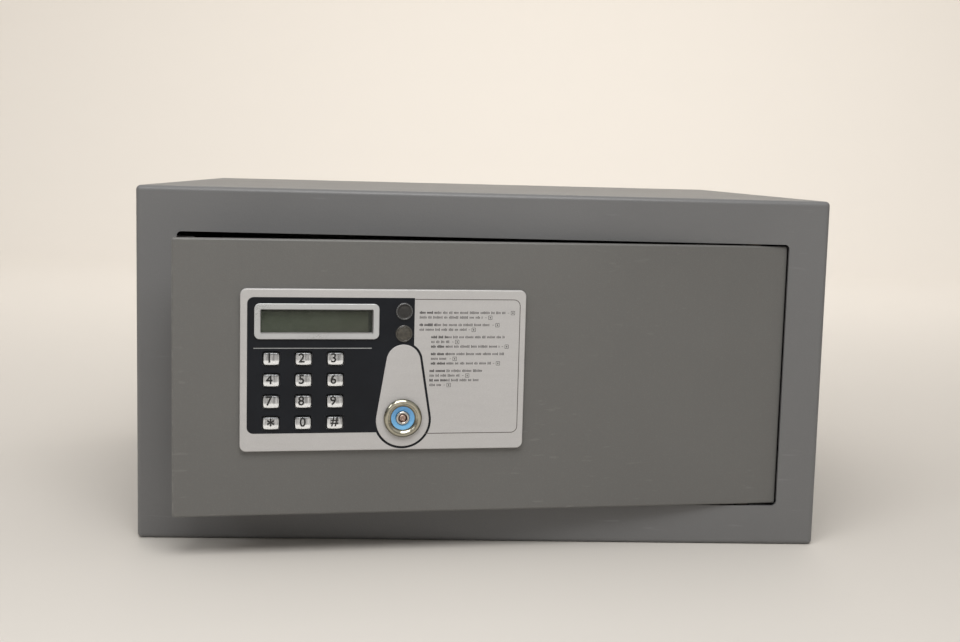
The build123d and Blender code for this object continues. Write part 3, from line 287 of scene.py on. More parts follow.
powderCoat = dict(
    roughness=0.42, roughSpread=0.06, tone=0.05, cloud=9, grain=1100, relief=0.4, depth=0.14,
    sockets={"Specular IOR Level": 0.56}, over=paintedSteel,
    wear=0.5, wearShade=2.1, wearReach=1.6,
    wearNoise=dict(scale=160, limits=(0.48, 0.6), detail=5, roughness=0.65),
    speckShade=1.7, speckNoise=dict(scale=2600, limits=(0.58, 0.72), high=0.3, detail=1),
    scuff=0.35, scuffShade=1.6, scuffNoise=dict(scale=520, limits=(0.66, 0.74), stretch=(0.07, 1.0, 0.8)),
    placeNoise=dict(scale=14, limits=(0.5, 0.6)))
looks["cabinet_paint"] = dict(powderCoat, name="cabinetPaint", colour=(0.146, 0.1465, 0.148), box=cadBox)
looks["door_paint"] = dict(
    powderCoat, name="doorPaint", colour=(0.126, 0.1245, 0.119), box=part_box("door_plate"))
looks["case_steel"] = dict(
    powderCoat, name="casePaint", colour=(0.150, 0.150, 0.150), box=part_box("lock_case"), wear=0.25)


def satinSilver(tree, toned, values):
    # silver lacquer with very fine metal flakes and faint handling streaks
    flaked = mixColours(mask(tree, **values["flakes"]), toned, values["flakeColour"])
    streaked = shade(values["colour"], values["streakShade"])
    return mixColours(mask(tree, **values["streaks"]), flaked, streaked)


looks["faceplate_silver"] = dict(
    name="satinSilver", colour=(0.515, 0.505, 0.502), metallic=0.25, roughness=0.42, tone=0.03, cloud=14,
    grain=3200, relief=0.12, depth=0.02, roughSpread=0.05, over=satinSilver,
    flakeColour=(0.78, 0.78, 0.77), flakes=dict(scale=3600, limits=(0.4, 0.75), high=0.25, detail=1),
    streakShade=0.8, streaks=dict(scale=60, limits=(0.45, 0.7), high=0.10, stretch=(1, 1, 7), detail=3))


def keyMetal(tree, toned, values):
    # bright plated cap, read through its own UV map, with reflections and shade painted on: a pale band
    # along the foot is a painted reflection of the bright floor, the streaky grey above it a painted
    # reflection of the darker room, the ghost to the right a painted reflection of the digit, and the dark
    # head where the cap turns up is painted shade; they cover the tone wholly
    cap = coordinates(tree, uvMap="cap")
    upper = spread(cap["Y"], 0, 1, *values["bandEdge"])
    aside = calculate("ABSOLUTE", calculate("SUBTRACT", cap["X"], values["smearPlace"]))
    smear = multiply(spread(aside, values["smearDepth"], 0, *values["smearReach"]), upper)
    streakyReflection = multiply(upper, mask(tree, **values["streaks"]))
    ghosted = mixColours(smear, mixColours(streakyReflection, values["colour"], values["dark"]), values["smear"])
    head = spread(cap["Y"], 0, values["headDepth"], *values["headFrom"])
    return mixColours(head, ghosted, values["head"])


# colour, dark, the ghost and the head are painted reflections and painted shade, laid on by the function above
looks["key_silver"] = dict(
    name="keyMetal", colour=(0.96, 0.98, 1.0), metallic=0.7, roughness=0.24, cloud=500, grain=1800,
    stretch=(1, 1, 0.12), relief=0.2, depth=0.03, over=keyMetal,
    bandEdge=(0.28, 0.42), dark=(0.33, 0.335, 0.345),
    streaks=dict(scale=1500, limits=(0.35, 0.65), low=0.35, high=0.95, stretch=(1, 1, 0.1)),
    smear=(0.17, 0.17, 0.175), smearPlace=0.68, smearReach=(0.02, 0.16), smearDepth=0.45,
    head=(0.02, 0.02, 0.02), headFrom=(0.80, 1.0), headDepth=0.85)


def nickelWithPaintedShade(tree, toned, values):
    # polished nickel, read through the barrel's own UV map, with painted shade: darker in the root of the
    # dish next to the collar and round the outer rim
    radius = coordinates(tree, uvMap="turned")["Y"]
    root, rim = spread(radius, 1, 0, *values["root"]), spread(radius, 0, 1, *values["rim"])
    return mixColours(multiply(calculate("MAXIMUM", root, rim), values["tarnish"]), toned, values["dark"])


# the dark colour is the painted shade in the root of the dish and round the rim
looks["lock_nickel"] = dict(
    name="polishedNickel", colour=(0.47, 0.45, 0.365), metallic=1, roughness=0.11, tone=0.05, cloud=300,
    grain=2600, relief=0.08, depth=0.02, roughSpread=0.05, over=nickelWithPaintedShade, dark=(0.085, 0.080, 0.055),
    root=(0.645, 0.74), rim=(0.90, 0.985), tarnish=0.85)


def blueCollar(tree, toned, values):
    # glossy blue moulding, paler where light pools along its lower half
    low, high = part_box("lock_collar")
    return mixColours(spread(coordinates(tree)["Z"], 1, 0, low.z, high.z), toned, values["pale"])


looks["lock_blue"] = dict(
    name="collarBlue", colour=(0.085, 0.30, 0.62), roughness=0.22, cloud=220, grain=2000, relief=0.08,
    depth=0.02, sockets={"Coat Weight": 0.6, "Coat Roughness": 0.08}, over=blueCollar, pale=(0.2, 0.5, 0.8))


def displayCell(tree, toned, values):
    # unlit reflective display: grey green, yellower low on the right, with a painted shadow along the top
    # and right edges, where the rim of the frame shades it
    low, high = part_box("lcd_module")
    place = coordinates(tree)
    top = spread(place["Z"], 0, 1, *[high.z - inset * mm for inset in values["topEdge"]])
    right = spread(place["X"], 0, 1, *[high.x - inset * mm for inset in values["rightEdge"]])
    edge = multiply(calculate("MAXIMUM", top, right), values["edge"])
    # yellower towards the lower right: a plain gradient across the cell
    across = spread(place["X"], *values["agedAcross"], low.x, high.x)
    yellowerShare = multiply(across, spread(place["Z"], *values["agedUp"], low.z, high.z))
    return mixColours(edge, mixColours(yellowerShare, toned, values["agedColour"]), values["edgeColour"])


# the edge settings and their colour set the painted shadow along the top and right of the cell
looks["display_cell"] = dict(
    name="displayCell", colour=(0.090, 0.110, 0.078), roughness=0.28, tone=0.12, cloud=55, grain=2500,
    relief=0.05, depth=0.01, over=displayCell, topEdge=(3.0, 2.4), rightEdge=(3.6, 3.1), edge=0.8,
    edgeColour=(0.02, 0.024, 0.02), agedAcross=(0, 0.8), agedUp=(1, 0.2), agedColour=(0.093, 0.094, 0.072))


def smokedLens(tree, toned, values):
    # tinted moulding over small facets, read through its own UV map: a ring of dots inside a beaded rim; on
    # the dark lens the rim is paler, a painted highlight on the bead
    turned = coordinates(tree, uvMap="turned")
    wave = calculate("SINE", multiply(turned["X"], 2 * math.pi * values["dots"]))
    dotted = spread(wave, 0, values["dotDepth"], *values["dotFrom"])
    dots = multiply(dotted, between(turned["Y"], *values["ring"]))
    rim = between(turned["Y"], *values["rimEdges"], values["rim"])
    beaded = multiply(rim, spread(wave, values["beadLow"], 1, *values["beadFrom"]))
    facets = nodeFrom(objectPlace(tree), "ShaderNodeTexVoronoi", "Vector", {"Scale": values["facets"]})
    bump(facets.outputs["Distance"], values["facetRelief"], values["facetDepth"])
    ringed = mixColours(beaded, toned, values["rimColour"])
    return mixColours(dots, ringed, shade(values["colour"], values["dotShade"]))


# the rim colour of the dark lens, much paler than the lens, is a painted highlight on the bead
looks["lens_dark"] = dict(
    name="smokedLens", colour=(0.019, 0.019, 0.019), roughness=0.16, tone=0.25, cloud=320, grain=1500,
    relief=0, roughSpread=0.05, sockets={"Coat Weight": 0.6, "Coat Roughness": 0.05}, over=smokedLens,
    dots=22, dotDepth=0.85, dotFrom=(-0.2, 0.5), dotShade=0.3, ring=((0.64, 0.70), (0.78, 0.84)),
    rimColour=(0.14, 0.145, 0.145), rim=0.8, rimEdges=((0.82, 0.90), (0.97, 1.0)), beadLow=0.35,
    beadFrom=(-0.4, 0.4), facets=500, facetRelief=0.15, facetDepth=0.15)
looks["lens_amber"] = dict(
    looks["lens_dark"], name="amberLens", colour=(0.054, 0.049, 0.039), cloud=380, dots=9, dotDepth=0.3,
    rimColour=(0.030, 0.029, 0.026), rim=0.6, beadLow=0.5, facets=620, facetRelief=0.9)


def feltPile(tree, toned, values):
    # needled felt: a dull pile with paler fibres that lie along X
    return mixColours(mask(tree, **values["fibres"]), toned, values["fibreColour"])


looks["floor_felt"] = dict(
    name="needledFelt", colour=(0.040, 0.041, 0.044), roughness=0.95, tone=0.22, cloud=70, grain=1300,
    relief=0.9, depth=0.5, roughSpread=0.04,
    sockets={"Sheen Weight": 0.4, "Sheen Roughness": 0.6, "Specular IOR Level": 0.15}, over=feltPile,
    fibreColour=(0.10, 0.10, 0.11),
    fibres=dict(scale=2600, limits=(0.45, 0.65), high=0.7, stretch=(1, 0.25, 1), detail=4, roughness=0.7))


def boardGreen(tree, toned, values):
    # solder mask that stands proud over fine copper tracks
    black, white = (0, 0, 0, 1), (1, 1, 1, 1)
    turned = nodeFrom(objectPlace(tree), "ShaderNodeMapping", "Vector", {"Rotation": (math.pi / 2, 0, 0)})
    bricks = {
        "Scale": values["trackScale"], "Mortar Size": values["trackWidth"], "Color1": black, "Color2": black,
        "Mortar": white}
    tracks = nodeFrom(turned.outputs["Vector"], "ShaderNodeTexBrick", "Vector", bricks).outputs["Color"]
    bump(tracks, values["trackRelief"], values["trackDepth"])
    return mixColours(tracks, toned, values["trackColour"])


looks["board_green"] = dict(
    name="solderMask", colour=(0.012, 0.085, 0.035), roughness=0.3, tone=0.1, cloud=90, grain=1600,
    relief=0, over=boardGreen, trackColour=(0.03, 0.16, 0.06), trackScale=260, trackWidth=0.03,
    trackRelief=0.4, trackDepth=0.03)


def cellSleeve(tree, toned, values):
    # shrink sleeve in two plain colours, split along the cell's length
    low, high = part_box("batteries")
    split = [low.z + share * (high.z - low.z) for share in values["split"]]
    return mixColours(spread(coordinates(tree)["Z"], 0, 1, *split), toned, values["band"])


looks["cell_sleeve"] = dict(
    name="cellSleeve", colour=(0.115, 0.135, 0.165), roughness=0.3, tone=0.15, cloud=90, grain=1500,
    relief=0.1, sockets={"Coat Weight": 0.4}, over=cellSleeve, band=(0.46, 0.47, 0.48), split=(0.67, 0.68))

materials = {key: finish(**look) for key, look in looks.items()}
materials["display_glass"].blend_method = "BLEND"
print("finishes made:", len(materials))


# Pieces

def addObject(name, data):
    made = bpy.data.objects.new(name, data)
    bpy.context.scene.collection.objects.link(made)
    return made


def addPiece(name, mesh, body, slotName, look=None, replaced=(), door=True):
    # a mesh that was drawn with the door shut is turned with the door; one that has a material keeps it
    if door:
        mesh.transform(onDoor)
    piece = addObject(name, mesh)
    if not mesh.materials:
        mesh.materials.append(materials[look or slotName])
    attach(piece, body)
    if replaced:
        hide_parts(*replaced)
    return piece


def meshFrom(name, shape):
    bmesh.ops.remove_doubles(shape, verts=shape.verts, dist=1e-7)
    bmesh.ops.recalc_face_normals(shape, faces=shape.faces)
    mesh = bpy.data.meshes.new(name)
    shape.to_mesh(mesh)
    shape.free()
    return mesh


def evaluatedMesh(carrier):
    bpy.context.view_layer.update()
    return bpy.data.meshes.new_from_object(carrier.evaluated_get(bpy.context.evaluated_depsgraph_get()))


def smoothByAngle(mesh, degrees):
    shape = bmesh.new()
    shape.from_mesh(mesh)
    for face in shape.faces:
        face.smooth = True
    for edge in shape.edges:
        edge.smooth = len(edge.link_faces) == 2 and edge.calc_face_angle(math.pi) < math.radians(degrees)
    shape.to_mesh(mesh)
    shape.free()
    return mesh


def sliceAcross(shape, axis, cuts):
    # adds edges where planes across an axis cut the shape, so that it can follow a curved surface
    normal = Vector([float(axis == other) for other in range(3)])
    for cut in cuts:
        everything = shape.verts[:] + shape.edges[:] + shape.faces[:]
        bmesh.ops.bisect_plane(shape, geom=everything, plane_co=normal * cut, plane_no=normal)


def bridge(shape, first, second, closed=True):
    # faces between two rows of vertices
    count = len(first)
    for index in range(count if closed else count - 1):
        after = (index + 1) % count
        shape.faces.new((first[index], first[after], second[after], second[index]))


def lathe(name, profile, centre, steps=96, base=frontY, capped=False):
    # profile: (radius, depth) pairs in millimetres, turned about an axis along Y through the centre
    shape = bmesh.new()
    turns = [2 * math.pi * step / steps for step in range(steps)]
    rings = []
    for radius, depth in profile:
        reach, y = radius * mm, base + depth * mm
        places = [
            (centre[0] + reach * math.cos(turn), y, centre[1] + reach * math.sin(turn))
            for turn in (turns if radius else [0])]
        rings.append([shape.verts.new(place) for place in places])
    for first, second in zip(rings, rings[1:]):
        for step in range(steps):
            after = (step + 1) % steps
            corners = (first, step), (first, after), (second, after), (second, step)
            unique = list(dict.fromkeys(ring[index % len(ring)] for ring, index in corners))
            if len(unique) > 2:
                shape.faces.new(unique)
    if capped:
        shape.faces.new(rings[0])
    return meshFrom(name, shape)


def edgeProfile(radius, front, points):
    # profile points given as (outwards, rearwards) from where a radius meets a front
    return [(radius + out, front + back) for out, back in points]


def addTurnedMap(mesh, centre, radius):
    # a UV map that reads the turn about the axis across, and the share of the radius upwards
    layer = mesh.uv_layers.new(name="turned")
    for loop in mesh.loops:
        place = mesh.vertices[loop.vertex_index].co
        x, z = (place.x - centre[0]) / mm, (place.z - centre[1]) / mm
        layer.data[loop.index].uv = (math.atan2(z, x) / 2 / math.pi + 0.5, math.hypot(x, z) / radius)


# CAD pieces that keep their own shape get their finish here
record = frame["record"]
slotOf = {entry["node"]: entry["material_slot"] for entry in record["subparts"]}
bodyOf = {node: body for body, members in record["behaviour"]["bodies"].items() for node in members}
remade = {"floor_mat", "lock_barrel", "lock_collar", "lock_plug", "upper_lens", "lower_lens", "case_screws"}
remade |= {node for node in cadNodes if node.startswith("key_") and node != "key_board"}
for node, piece in cadNodes.items():
    if node not in remade:
        for slot in piece.material_slots:
            slot.material = materials[slotOf[node]]
print("CAD nodes dressed:", len(cadNodes) - len(remade))


# Keys: sizes in millimetres; the powers say how squarely the crown falls to each edge
keyShape = dict(
    width=8.4, height=6.7, inset=0.11, crown=0.55, sidePower=6, topPower=14, footPower=2.8,
    cornerPull=0.10, cornerPower=3, rows=16, columns=18, skirt=[(0.08, 0.08), (0.13, 0.30), (0.15, 0.8)],
    smoothBelow=50)
digitShape = dict(
    height=5.1, weight=0.020, rise=0.03, sink=0.02, leftPlace=0.37, middlePlace=0.48, lift=0.5, grid=0.35,
    starSize=0.86, starWeight=0.026, extrude=0.5)
keyMarks = dict(
    one="1", two="2", three="3", four="4", five="5", six="6", seven="7", eight="8", nine="9", star="*",
    zero="0", hash="#")
halfX = (keyShape["width"] / 2 - keyShape["inset"]) * mm
halfZ = (keyShape["height"] / 2 - keyShape["inset"]) * mm
plateFront = shutBox("faceplate")[0].y


def capSurface(front, u, v):
    # the crown: highest in the middle, falling to the edges at 1 and -1, most gently to its foot
    power = keyShape["topPower" if v > 0 else "footPower"]
    bulge = (1 - abs(u) ** keyShape["sidePower"]) * (1 - abs(v) ** power)
    return front + keyShape["crown"] * mm * (1 - bulge)


def keyCap(name, low, high):
    centreX, centreZ = middleOf(low, high)
    shape = bmesh.new()
    rows, columns = keyShape["rows"], keyShape["columns"]
    grid = []
    for row in range(rows + 1):
        v = -math.cos(math.pi * row / rows)
        line = []
        for column in range(columns + 1):
            u = -math.cos(math.pi * column / columns)
            squeeze = 1 - keyShape["cornerPull"] * (abs(u) * abs(v)) ** keyShape["cornerPower"]
            place = centreX + halfX * u * squeeze, capSurface(low.y, u, v), centreZ + halfZ * v * squeeze
            line.append(shape.verts.new(place))
        grid.append(line)
    for under, over in zip(grid, grid[1:]):
        bridge(shape, under, over, closed=False)
    sides = [line[-1] for line in grid[1:-1]], [line[0] for line in grid[-2:0:-1]]
    rings = [grid[0] + sides[0] + grid[-1][::-1] + sides[1]]
    for outwards, back in keyShape["skirt"]:
        growth = 1 + outwards * mm / 2 / halfZ
        places = [
            (centreX + (vertex.co.x - centreX) * growth, vertex.co.y + back * mm,
             centreZ + (vertex.co.z - centreZ) * growth) for vertex in rings[0]]
        rings.append([shape.verts.new(place) for place in places])
    rings.append([shape.verts.new((vertex.co.x, high.y, vertex.co.z)) for vertex in rings[-1]])
    for first, second in zip(rings, rings[1:]):
        bridge(shape, first, second)
    shape.faces.new(rings[-1])
    layer = shape.loops.layers.uv.new("cap")
    for face in shape.faces:
        for loop in face.loops:
            place = loop.vert.co
            loop[layer].uv = ((place.x - centreX) / halfX / 2 + 0.5, (place.z - centreZ) / halfZ / 2 + 0.5)
    return smoothByAngle(meshFrom(name, shape), keyShape["smoothBelow"])


def keyMark(name, text, low, high):
    # a plain character, cut into small squares that lie on the crown, standing a little proud of it
    curve = bpy.data.curves.new(name, "FONT")
    curve.body = text
    curve.align_x = "CENTER"
    curve.extrude = digitShape["extrude"]
    curve.bevel_depth = digitShape["starWeight" if text == "*" else "weight"]
    curve.bevel_resolution = 0
    carrier = addObject(name, curve)
    shape = bmesh.new()
    shape.from_mesh(evaluatedMesh(carrier))
    bpy.data.objects.remove(carrier)
    bpy.data.curves.remove(curve)
    reach = [[pick(vertex.co[axis] for vertex in shape.verts) for pick in (min, max)] for axis in (0, 1)]
    height = digitShape["height"] * mm * (digitShape["starSize"] if text == "*" else 1.0)
    scale = height / (reach[1][1] - reach[1][0])
    square = digitShape["grid"] * mm / scale
    for axis, (start, end) in enumerate(reach):
        count = math.ceil((end - start) / square)
        sliceAcross(shape, axis, [start + square * index for index in range(count)])
    centreX, centreZ = middleOf(low, high)
    place = digitShape["middlePlace" if text in "*0#" else "leftPlace"]
    middleX, middleZ = centreX + (place - 0.5) * 2 * halfX, centreZ + digitShape["lift"] * mm
    for vertex in shape.verts:
        x = middleX + (vertex.co.x - sum(reach[0]) / 2) * scale
        z = middleZ + (vertex.co.y - sum(reach[1]) / 2) * scale
        surface = capSurface(low.y, (x - centreX) / halfX, (z - centreZ) / halfZ)
        offset = digitShape["sink"] if vertex.co.z < 0 else -digitShape["rise"]
        vertex.co = (x, surface + offset * mm, z)
    return meshFrom(name, shape)


for word, mark in keyMarks.items():
    node = "key_" + word
    box = shutBox(node)
    addPiece(node + "Cap", keyCap(node + "Cap", *box), bodyOf[node], "key_silver", replaced=[node])
    addPiece(node + "Mark", keyMark(node + "Mark", mark, *box), bodyOf[node], "key_silver", "inkBlack")
print("keys made:", len(keyMarks))


# Lock front: radii and depths in millimetres
lockPlace = turnedBox("lock_barrel")[3]
lockSmooth = 40

# The barrel's front is a dish, a cone that rises from a lip to a crown, and a bevel outside it
barrelShape = dict(
    bore=3.83, recess=7.3, thread=9.5, lip=6.5, lipGap=0.03, lipRound=(0.04, 0.08), coneEnd=8.1, coneSteps=6,
    coneStart=0.1, coneRise=0.28, coneBulge=0.10, crownSteps=20, crownPower=0.85, bevelDepth=0.85,
    bevelPower=1.25, footHeight=0.5, footRound=0.15)


def lockBarrel():
    values = barrelShape
    top, back, outer, _ = turnedBox("lock_barrel")
    seat, lipBack = turnedBox("lock_escutcheon")[0], turnedBox("lock_collar")[0] - values["lipGap"]
    bore, recess, thread, lip, coneEnd = map(values.get, ("bore", "recess", "thread", "lip", "coneEnd"))
    inwards, forwards = values["lipRound"]
    profile = [(bore, seat), (recess, seat), (recess, lipBack), (lip, lipBack)]
    profile.append((lip - inwards, lipBack - forwards))
    for step in range(1, values["coneSteps"]):
        share = step / values["coneSteps"]
        rise = (lipBack - values["coneStart"]) * (1 - share) + (top + values["coneRise"]) * share
        bulge = values["coneBulge"] * math.sin(math.pi * share)
        profile.append((lip + (coneEnd - lip) * share, rise + bulge))
    middle, half = (coneEnd + outer) / 2, (outer - coneEnd) / 2
    for step in range(values["crownSteps"] + 1):
        turn = math.pi * step / values["crownSteps"]
        if step < values["crownSteps"] / 2:
            fall = values["coneRise"] * (1 - math.sin(turn) ** values["crownPower"])
        else:
            fall = values["bevelDepth"] * max(0, -math.cos(turn)) ** values["bevelPower"]
        profile.append((middle - half * math.cos(turn), top + fall))
    profile += [
        (outer, seat - values["footHeight"]), (outer - values["footRound"], seat), (thread, seat),
        (thread, back), (bore, back), (bore, seat)]
    mesh = lathe("lockBarrel", profile, lockPlace)
    addTurnedMap(mesh, lockPlace, outer)
    return smoothByAngle(mesh, lockSmooth)


collarShape = dict(
    bore=3.95, outerEdge=[(0, 0.5), (-0.35, 0.12), (-0.9, 0)],
    innerEdge=[(1.2, 0.25), (0.5, 0.55), (0, 0.7)])


def lockCollar():
    front, back, outer, _ = turnedBox("lock_collar")
    bore = collarShape["bore"]
    profile = [(bore, back), (outer, back)] + edgeProfile(outer, front, collarShape["outerEdge"])
    profile += edgeProfile(bore, front, collarShape["innerEdge"]) + [(bore, back)]
    return smoothByAngle(lathe("lockCollar", profile, lockPlace), lockSmooth)


# The plug is a rim and a post with the round keyway between them; its tail has two flats, which turn the cam
plugShape = dict(
    rim=3.72, rimEdge=[(-0.6, 0), (-0.25, 0.12), (0, 0.45)],
    keyway=2.35, keywayDepth=5, keywayEdge=[(0, 0.4), (0.18, 0.16), (0.5, 0.04)],
    post=1.8, postEdge=[(-0.35, 0.3), (0, 0.6)], dimple=[(0, 1.1), (0.45, 1.0), (0.55, 0.5), (0.9, 0.32)],
    shoulder=4.75, shoulderLength=2.6, tail=2.8, tailFlat=2.2, tailReach=3, tailRound=(0.3, 0.4),
    darkRadius=2.45, darkDepth=6, near=0.01)


def lockPlug():
    values = plugShape
    front, end = turnedBox("lock_plug")[:2]
    floor, back = front + values["keywayDepth"], turnedBox("lock_cam")[0]
    rim, keyway, post, shoulder, tail = map(values.get, ("rim", "keyway", "post", "shoulder", "tail"))
    inwards, forwards = values["tailRound"]
    neck = back - values["shoulderLength"]
    profile = edgeProfile(0, front, values["dimple"]) + edgeProfile(post, front, values["postEdge"])
    profile += [(post, floor), (keyway, floor)] + edgeProfile(keyway, front, values["keywayEdge"])
    profile += edgeProfile(rim, front, values["rimEdge"])
    profile += [
        (rim, neck), (shoulder, neck), (shoulder, back), (tail, back), (tail, end - forwards),
        (tail - inwards, end), (0, end)]
    mesh = lathe("lockPlug", profile, lockPlace)
    flat = values["tailFlat"] * mm
    for vertex in mesh.vertices:
        across, up = vertex.co.x - lockPlace[0], vertex.co.z - lockPlace[1]
        reach = math.hypot(across, up) / mm
        if depthOf(vertex.co.y) > back - values["near"] and reach < values["tailReach"]:
            vertex.co.x = lockPlace[0] + max(-flat, min(flat, across))
    return smoothByAngle(mesh, lockSmooth)


def darkenKeyway(plug):
    # the post and the walls and floor of the keyway get a darker, redder metal: the redness is the metal's own,
    # the darkness in the keyway's recess is painted shade
    plug.data.materials.append(materials["keywayDark"])
    deepest = turnedBox("lock_plug")[0] + plugShape["darkDepth"]
    for face in plug.data.polygons:
        centre = offDoor @ face.center
        reach = math.hypot(centre.x - lockPlace[0], centre.z - lockPlace[1]) / mm
        if reach < plugShape["darkRadius"] and depthOf(centre.y) < deepest:
            face.material_index = 1


addPiece("lockBarrelTurned", lockBarrel(), "door", "lock_nickel", replaced=["lock_barrel"])
addPiece("lockCollarMoulded", lockCollar(), "door", "lock_blue", replaced=["lock_collar"])
darkenKeyway(addPiece("lockPlugTurned", lockPlug(), "lock", "lock_nickel", "plugNickel", ["lock_plug"]))


# Lenses: a dished face, given as (radius, share of the dish), inside a rounded bead
lensShape = dict(
    face=[(0, 1.0), (1.4, 0.95), (2.6, 0.78), (3.4, 0.6), (3.65, 0.75)], upperDish=0.45, lowerDish=0.30,
    beadMiddle=4.12, beadHalf=0.38, beadRise=0.34, beadSteps=12, sideStart=0.4, overSeat=0.2, neck=3.4,
    smoothBelow=45)


def lensCap(node, dish):
    values = lensShape
    front, back, radius, centre = turnedBox(node)
    shoulder = depthOf(plateFront) + values["overSeat"]
    profile = [(reach, front + dish * share) for reach, share in values["face"]]
    for step in range(values["beadSteps"] + 1):
        turn = math.pi * step / values["beadSteps"]
        outwards = values["beadMiddle"] - values["beadHalf"] * math.cos(turn)
        profile.append((outwards, front + values["beadRise"] * (1 - math.sin(turn))))
    profile += [
        (radius, front + values["sideStart"]), (radius, shoulder), (values["neck"], shoulder),
        (values["neck"], back), (0, back)]
    mesh = lathe(node + "Cap", profile, centre)
    addTurnedMap(mesh, centre, radius)
    return smoothByAngle(mesh, values["smoothBelow"])


upperLens = lensCap("upper_lens", lensShape["upperDish"])
lowerLens = lensCap("lower_lens", lensShape["lowerDish"])
addPiece("upperLensCap", upperLens, "door", "lens_dark", replaced=["upper_lens"])
addPiece("lowerLensCap", lowerLens, "door", "lens_amber", replaced=["lower_lens"])
print("lock front and lenses made")


# Printed marks on the faceplate, in millimetres
inkRise, inkSink = 0.03, 0.02
border = dict(left=-42.7, right=15.5, top=142.6, bottom=68.7, foot=-36.9, corner=3.5, width=0.42)
rule = dict(left=-129, right=-66, height=115.9, width=0.36)


def strip(name, points, width):
    # a flat printed line along points (x, z), on the front of the faceplate
    shape = bmesh.new()
    rows = []
    for index, point in enumerate(points):
        before, after = points[max(index - 1, 0)], points[min(index + 1, len(points) - 1)]
        run = Vector((after[0] - before[0], after[1] - before[1])).normalized()
        side = Vector((-run.y, run.x)) * width / 2
        corners = (-1, -inkRise), (-1, inkSink), (1, inkSink), (1, -inkRise)
        places = [
            ((point[0] + sign * side.x) * mm, plateFront + lift * mm, (point[1] + sign * side.y) * mm)
            for sign, lift in corners]
        rows.append([shape.verts.new(place) for place in places])
    for first, second in zip(rows, rows[1:]):
        bridge(shape, first, second)
    for row in (rows[0], rows[-1]):
        shape.faces.new(row)
    return meshFrom(name, shape)


def cornerArc(x, z, radius, fromTurn, toTurn, steps=8):
    turns = [math.radians(fromTurn + (toTurn - fromTurn) * step / steps) for step in range(steps + 1)]
    return [(x + radius * math.cos(turn), z + radius * math.sin(turn)) for turn in turns]


cornerX, corner = border["right"] - border["corner"], border["corner"]
borderPath = [(border["left"], border["top"])]
borderPath += cornerArc(cornerX, border["top"] - corner, corner, 90, 0)
borderPath += cornerArc(cornerX, border["bottom"] + corner, corner, 0, -90)
borderPath += [(border["foot"], border["bottom"])]
borderMesh = strip("printedBorder", borderPath, border["width"])
addPiece("printedBorder", borderMesh, "door", "overlay_black", "inkLine")
rulePath = [(rule["left"], rule["height"]), (rule["right"], rule["height"])]
ruleMesh = strip("printedRule", rulePath, rule["width"])
addPiece("printedRule", ruleMesh, "door", "faceplate_silver", "inkPale")


def instancingTree(name, sizes, inkLabel, attribute, target):
    # a Geometry Nodes tree that puts a copy on every point, makes the copies real and dresses them
    tree = bpy.data.node_groups.new(name, "GeometryNodeTree")
    face = tree.interface
    face.new_socket("Geometry", in_out="INPUT", socket_type="NodeSocketGeometry")
    for label, value in sizes.items():
        face.new_socket(label, in_out="INPUT", socket_type="NodeSocketFloat").default_value = value
    face.new_socket(inkLabel, in_out="INPUT", socket_type="NodeSocketMaterial")
    face.new_socket("Geometry", in_out="OUTPUT", socket_type="NodeSocketGeometry")
    entry, leave = addNode(tree, "NodeGroupInput"), addNode(tree, "NodeGroupOutput")
    named = addNode(tree, "GeometryNodeInputNamedAttribute", {"Name": attribute}, data_type="FLOAT_VECTOR")
    place = addNode(tree, "GeometryNodeInstanceOnPoints")
    real = addNode(tree, "GeometryNodeRealizeInstances")
    dress = addNode(tree, "GeometryNodeSetMaterial")
    for source, output, goal, label in (
            (entry, "Geometry", place, "Points"), (named, "Attribute", place, target),
            (place, "Instances", real, "Geometry"), (real, "Geometry", dress, "Geometry"),
            (entry, inkLabel, dress, "Material"), (dress, "Geometry", leave, "Geometry")):
        tree.links.new(source.outputs[output], goal.inputs[label])
    return tree, entry, place


def socketId(tree, label):
    inputs = [item for item in tree.interface.items_tree if item.in_out == "INPUT"]
    return next(item.identifier for item in inputs if item.name == label)


def grown(name, points, attribute, values, tree, settings):
    # runs a Geometry Nodes tree on loose points and returns the result as a plain mesh
    mesh = bpy.data.meshes.new(name)
    mesh.from_pydata(points, [], [])
    data = mesh.attributes.new(attribute, "FLOAT_VECTOR", "POINT")
    for index, value in enumerate(values):
        data.data[index].vector = value
    carrier = addObject(name, mesh)
    modifier = carrier.modifiers.new("grow", "NODES")
    modifier.node_group = tree
    for label, value in settings.items():
        modifier[socketId(tree, label)] = value
    result = evaluatedMesh(carrier)
    carrier.modifiers.remove(modifier)
    bpy.data.objects.remove(carrier)
    return result


# Tick rows: plain upright ticks in groups, on the right of the faceplate. A group is the left end of its rows
# and the right end of each; most rows end in a short dash and a small frame with a dot
tickRows = dict(
    seed=7, firstRow=135.3, rowPitch=2.6, groupGap=1.5, tickPitch=0.66, tickWidth=0.36, tickHeight=1.3,
    thickness=0.05, lift=0.005, talls=(0.8, 0.8, 0.95, 1.15), tallLift=0.3, firstCluster=(3, 6),
    cluster=(3, 8), clusterGap=1.1, boldWidth=0.52, boldUntil=9, boxSize=2, boxGap=3.2, line=0.22,
    dot=(2.4, 0.45), dashPlace=0.55, dashWidth=0.4, withoutBox={(2, 0), (3, 0), (4, 0), (4, 2)},
    groups=[
        (-39.9, [12.5, -0.1]), (-39.9, [4.0, -9.2]), (-33.3, [7.0, -18.2, 9.5]), (-33.3, [7.5, -19.4, 4.8]),
        (-33.9, [-5.1, -12.2, -6.5, -22.4])])


def tickTree(sizes):
    # the copies are thin boxes, stretched by the points' own attribute
    tree, entry, place = instancingTree("printedTicks", sizes, "Ink", "stretch", "Scale")
    size = addNode(tree, "ShaderNodeCombineXYZ")
    for label, letter in (("Width", "X"), ("Thickness", "Y"), ("Height", "Z")):
        tree.links.new(entry.outputs[label], size.inputs[letter])
    cube = nodeFrom(size.outputs["Vector"], "GeometryNodeMeshCube", "Size")
    tree.links.new(cube.outputs["Mesh"], place.inputs["Instance"])
    return tree


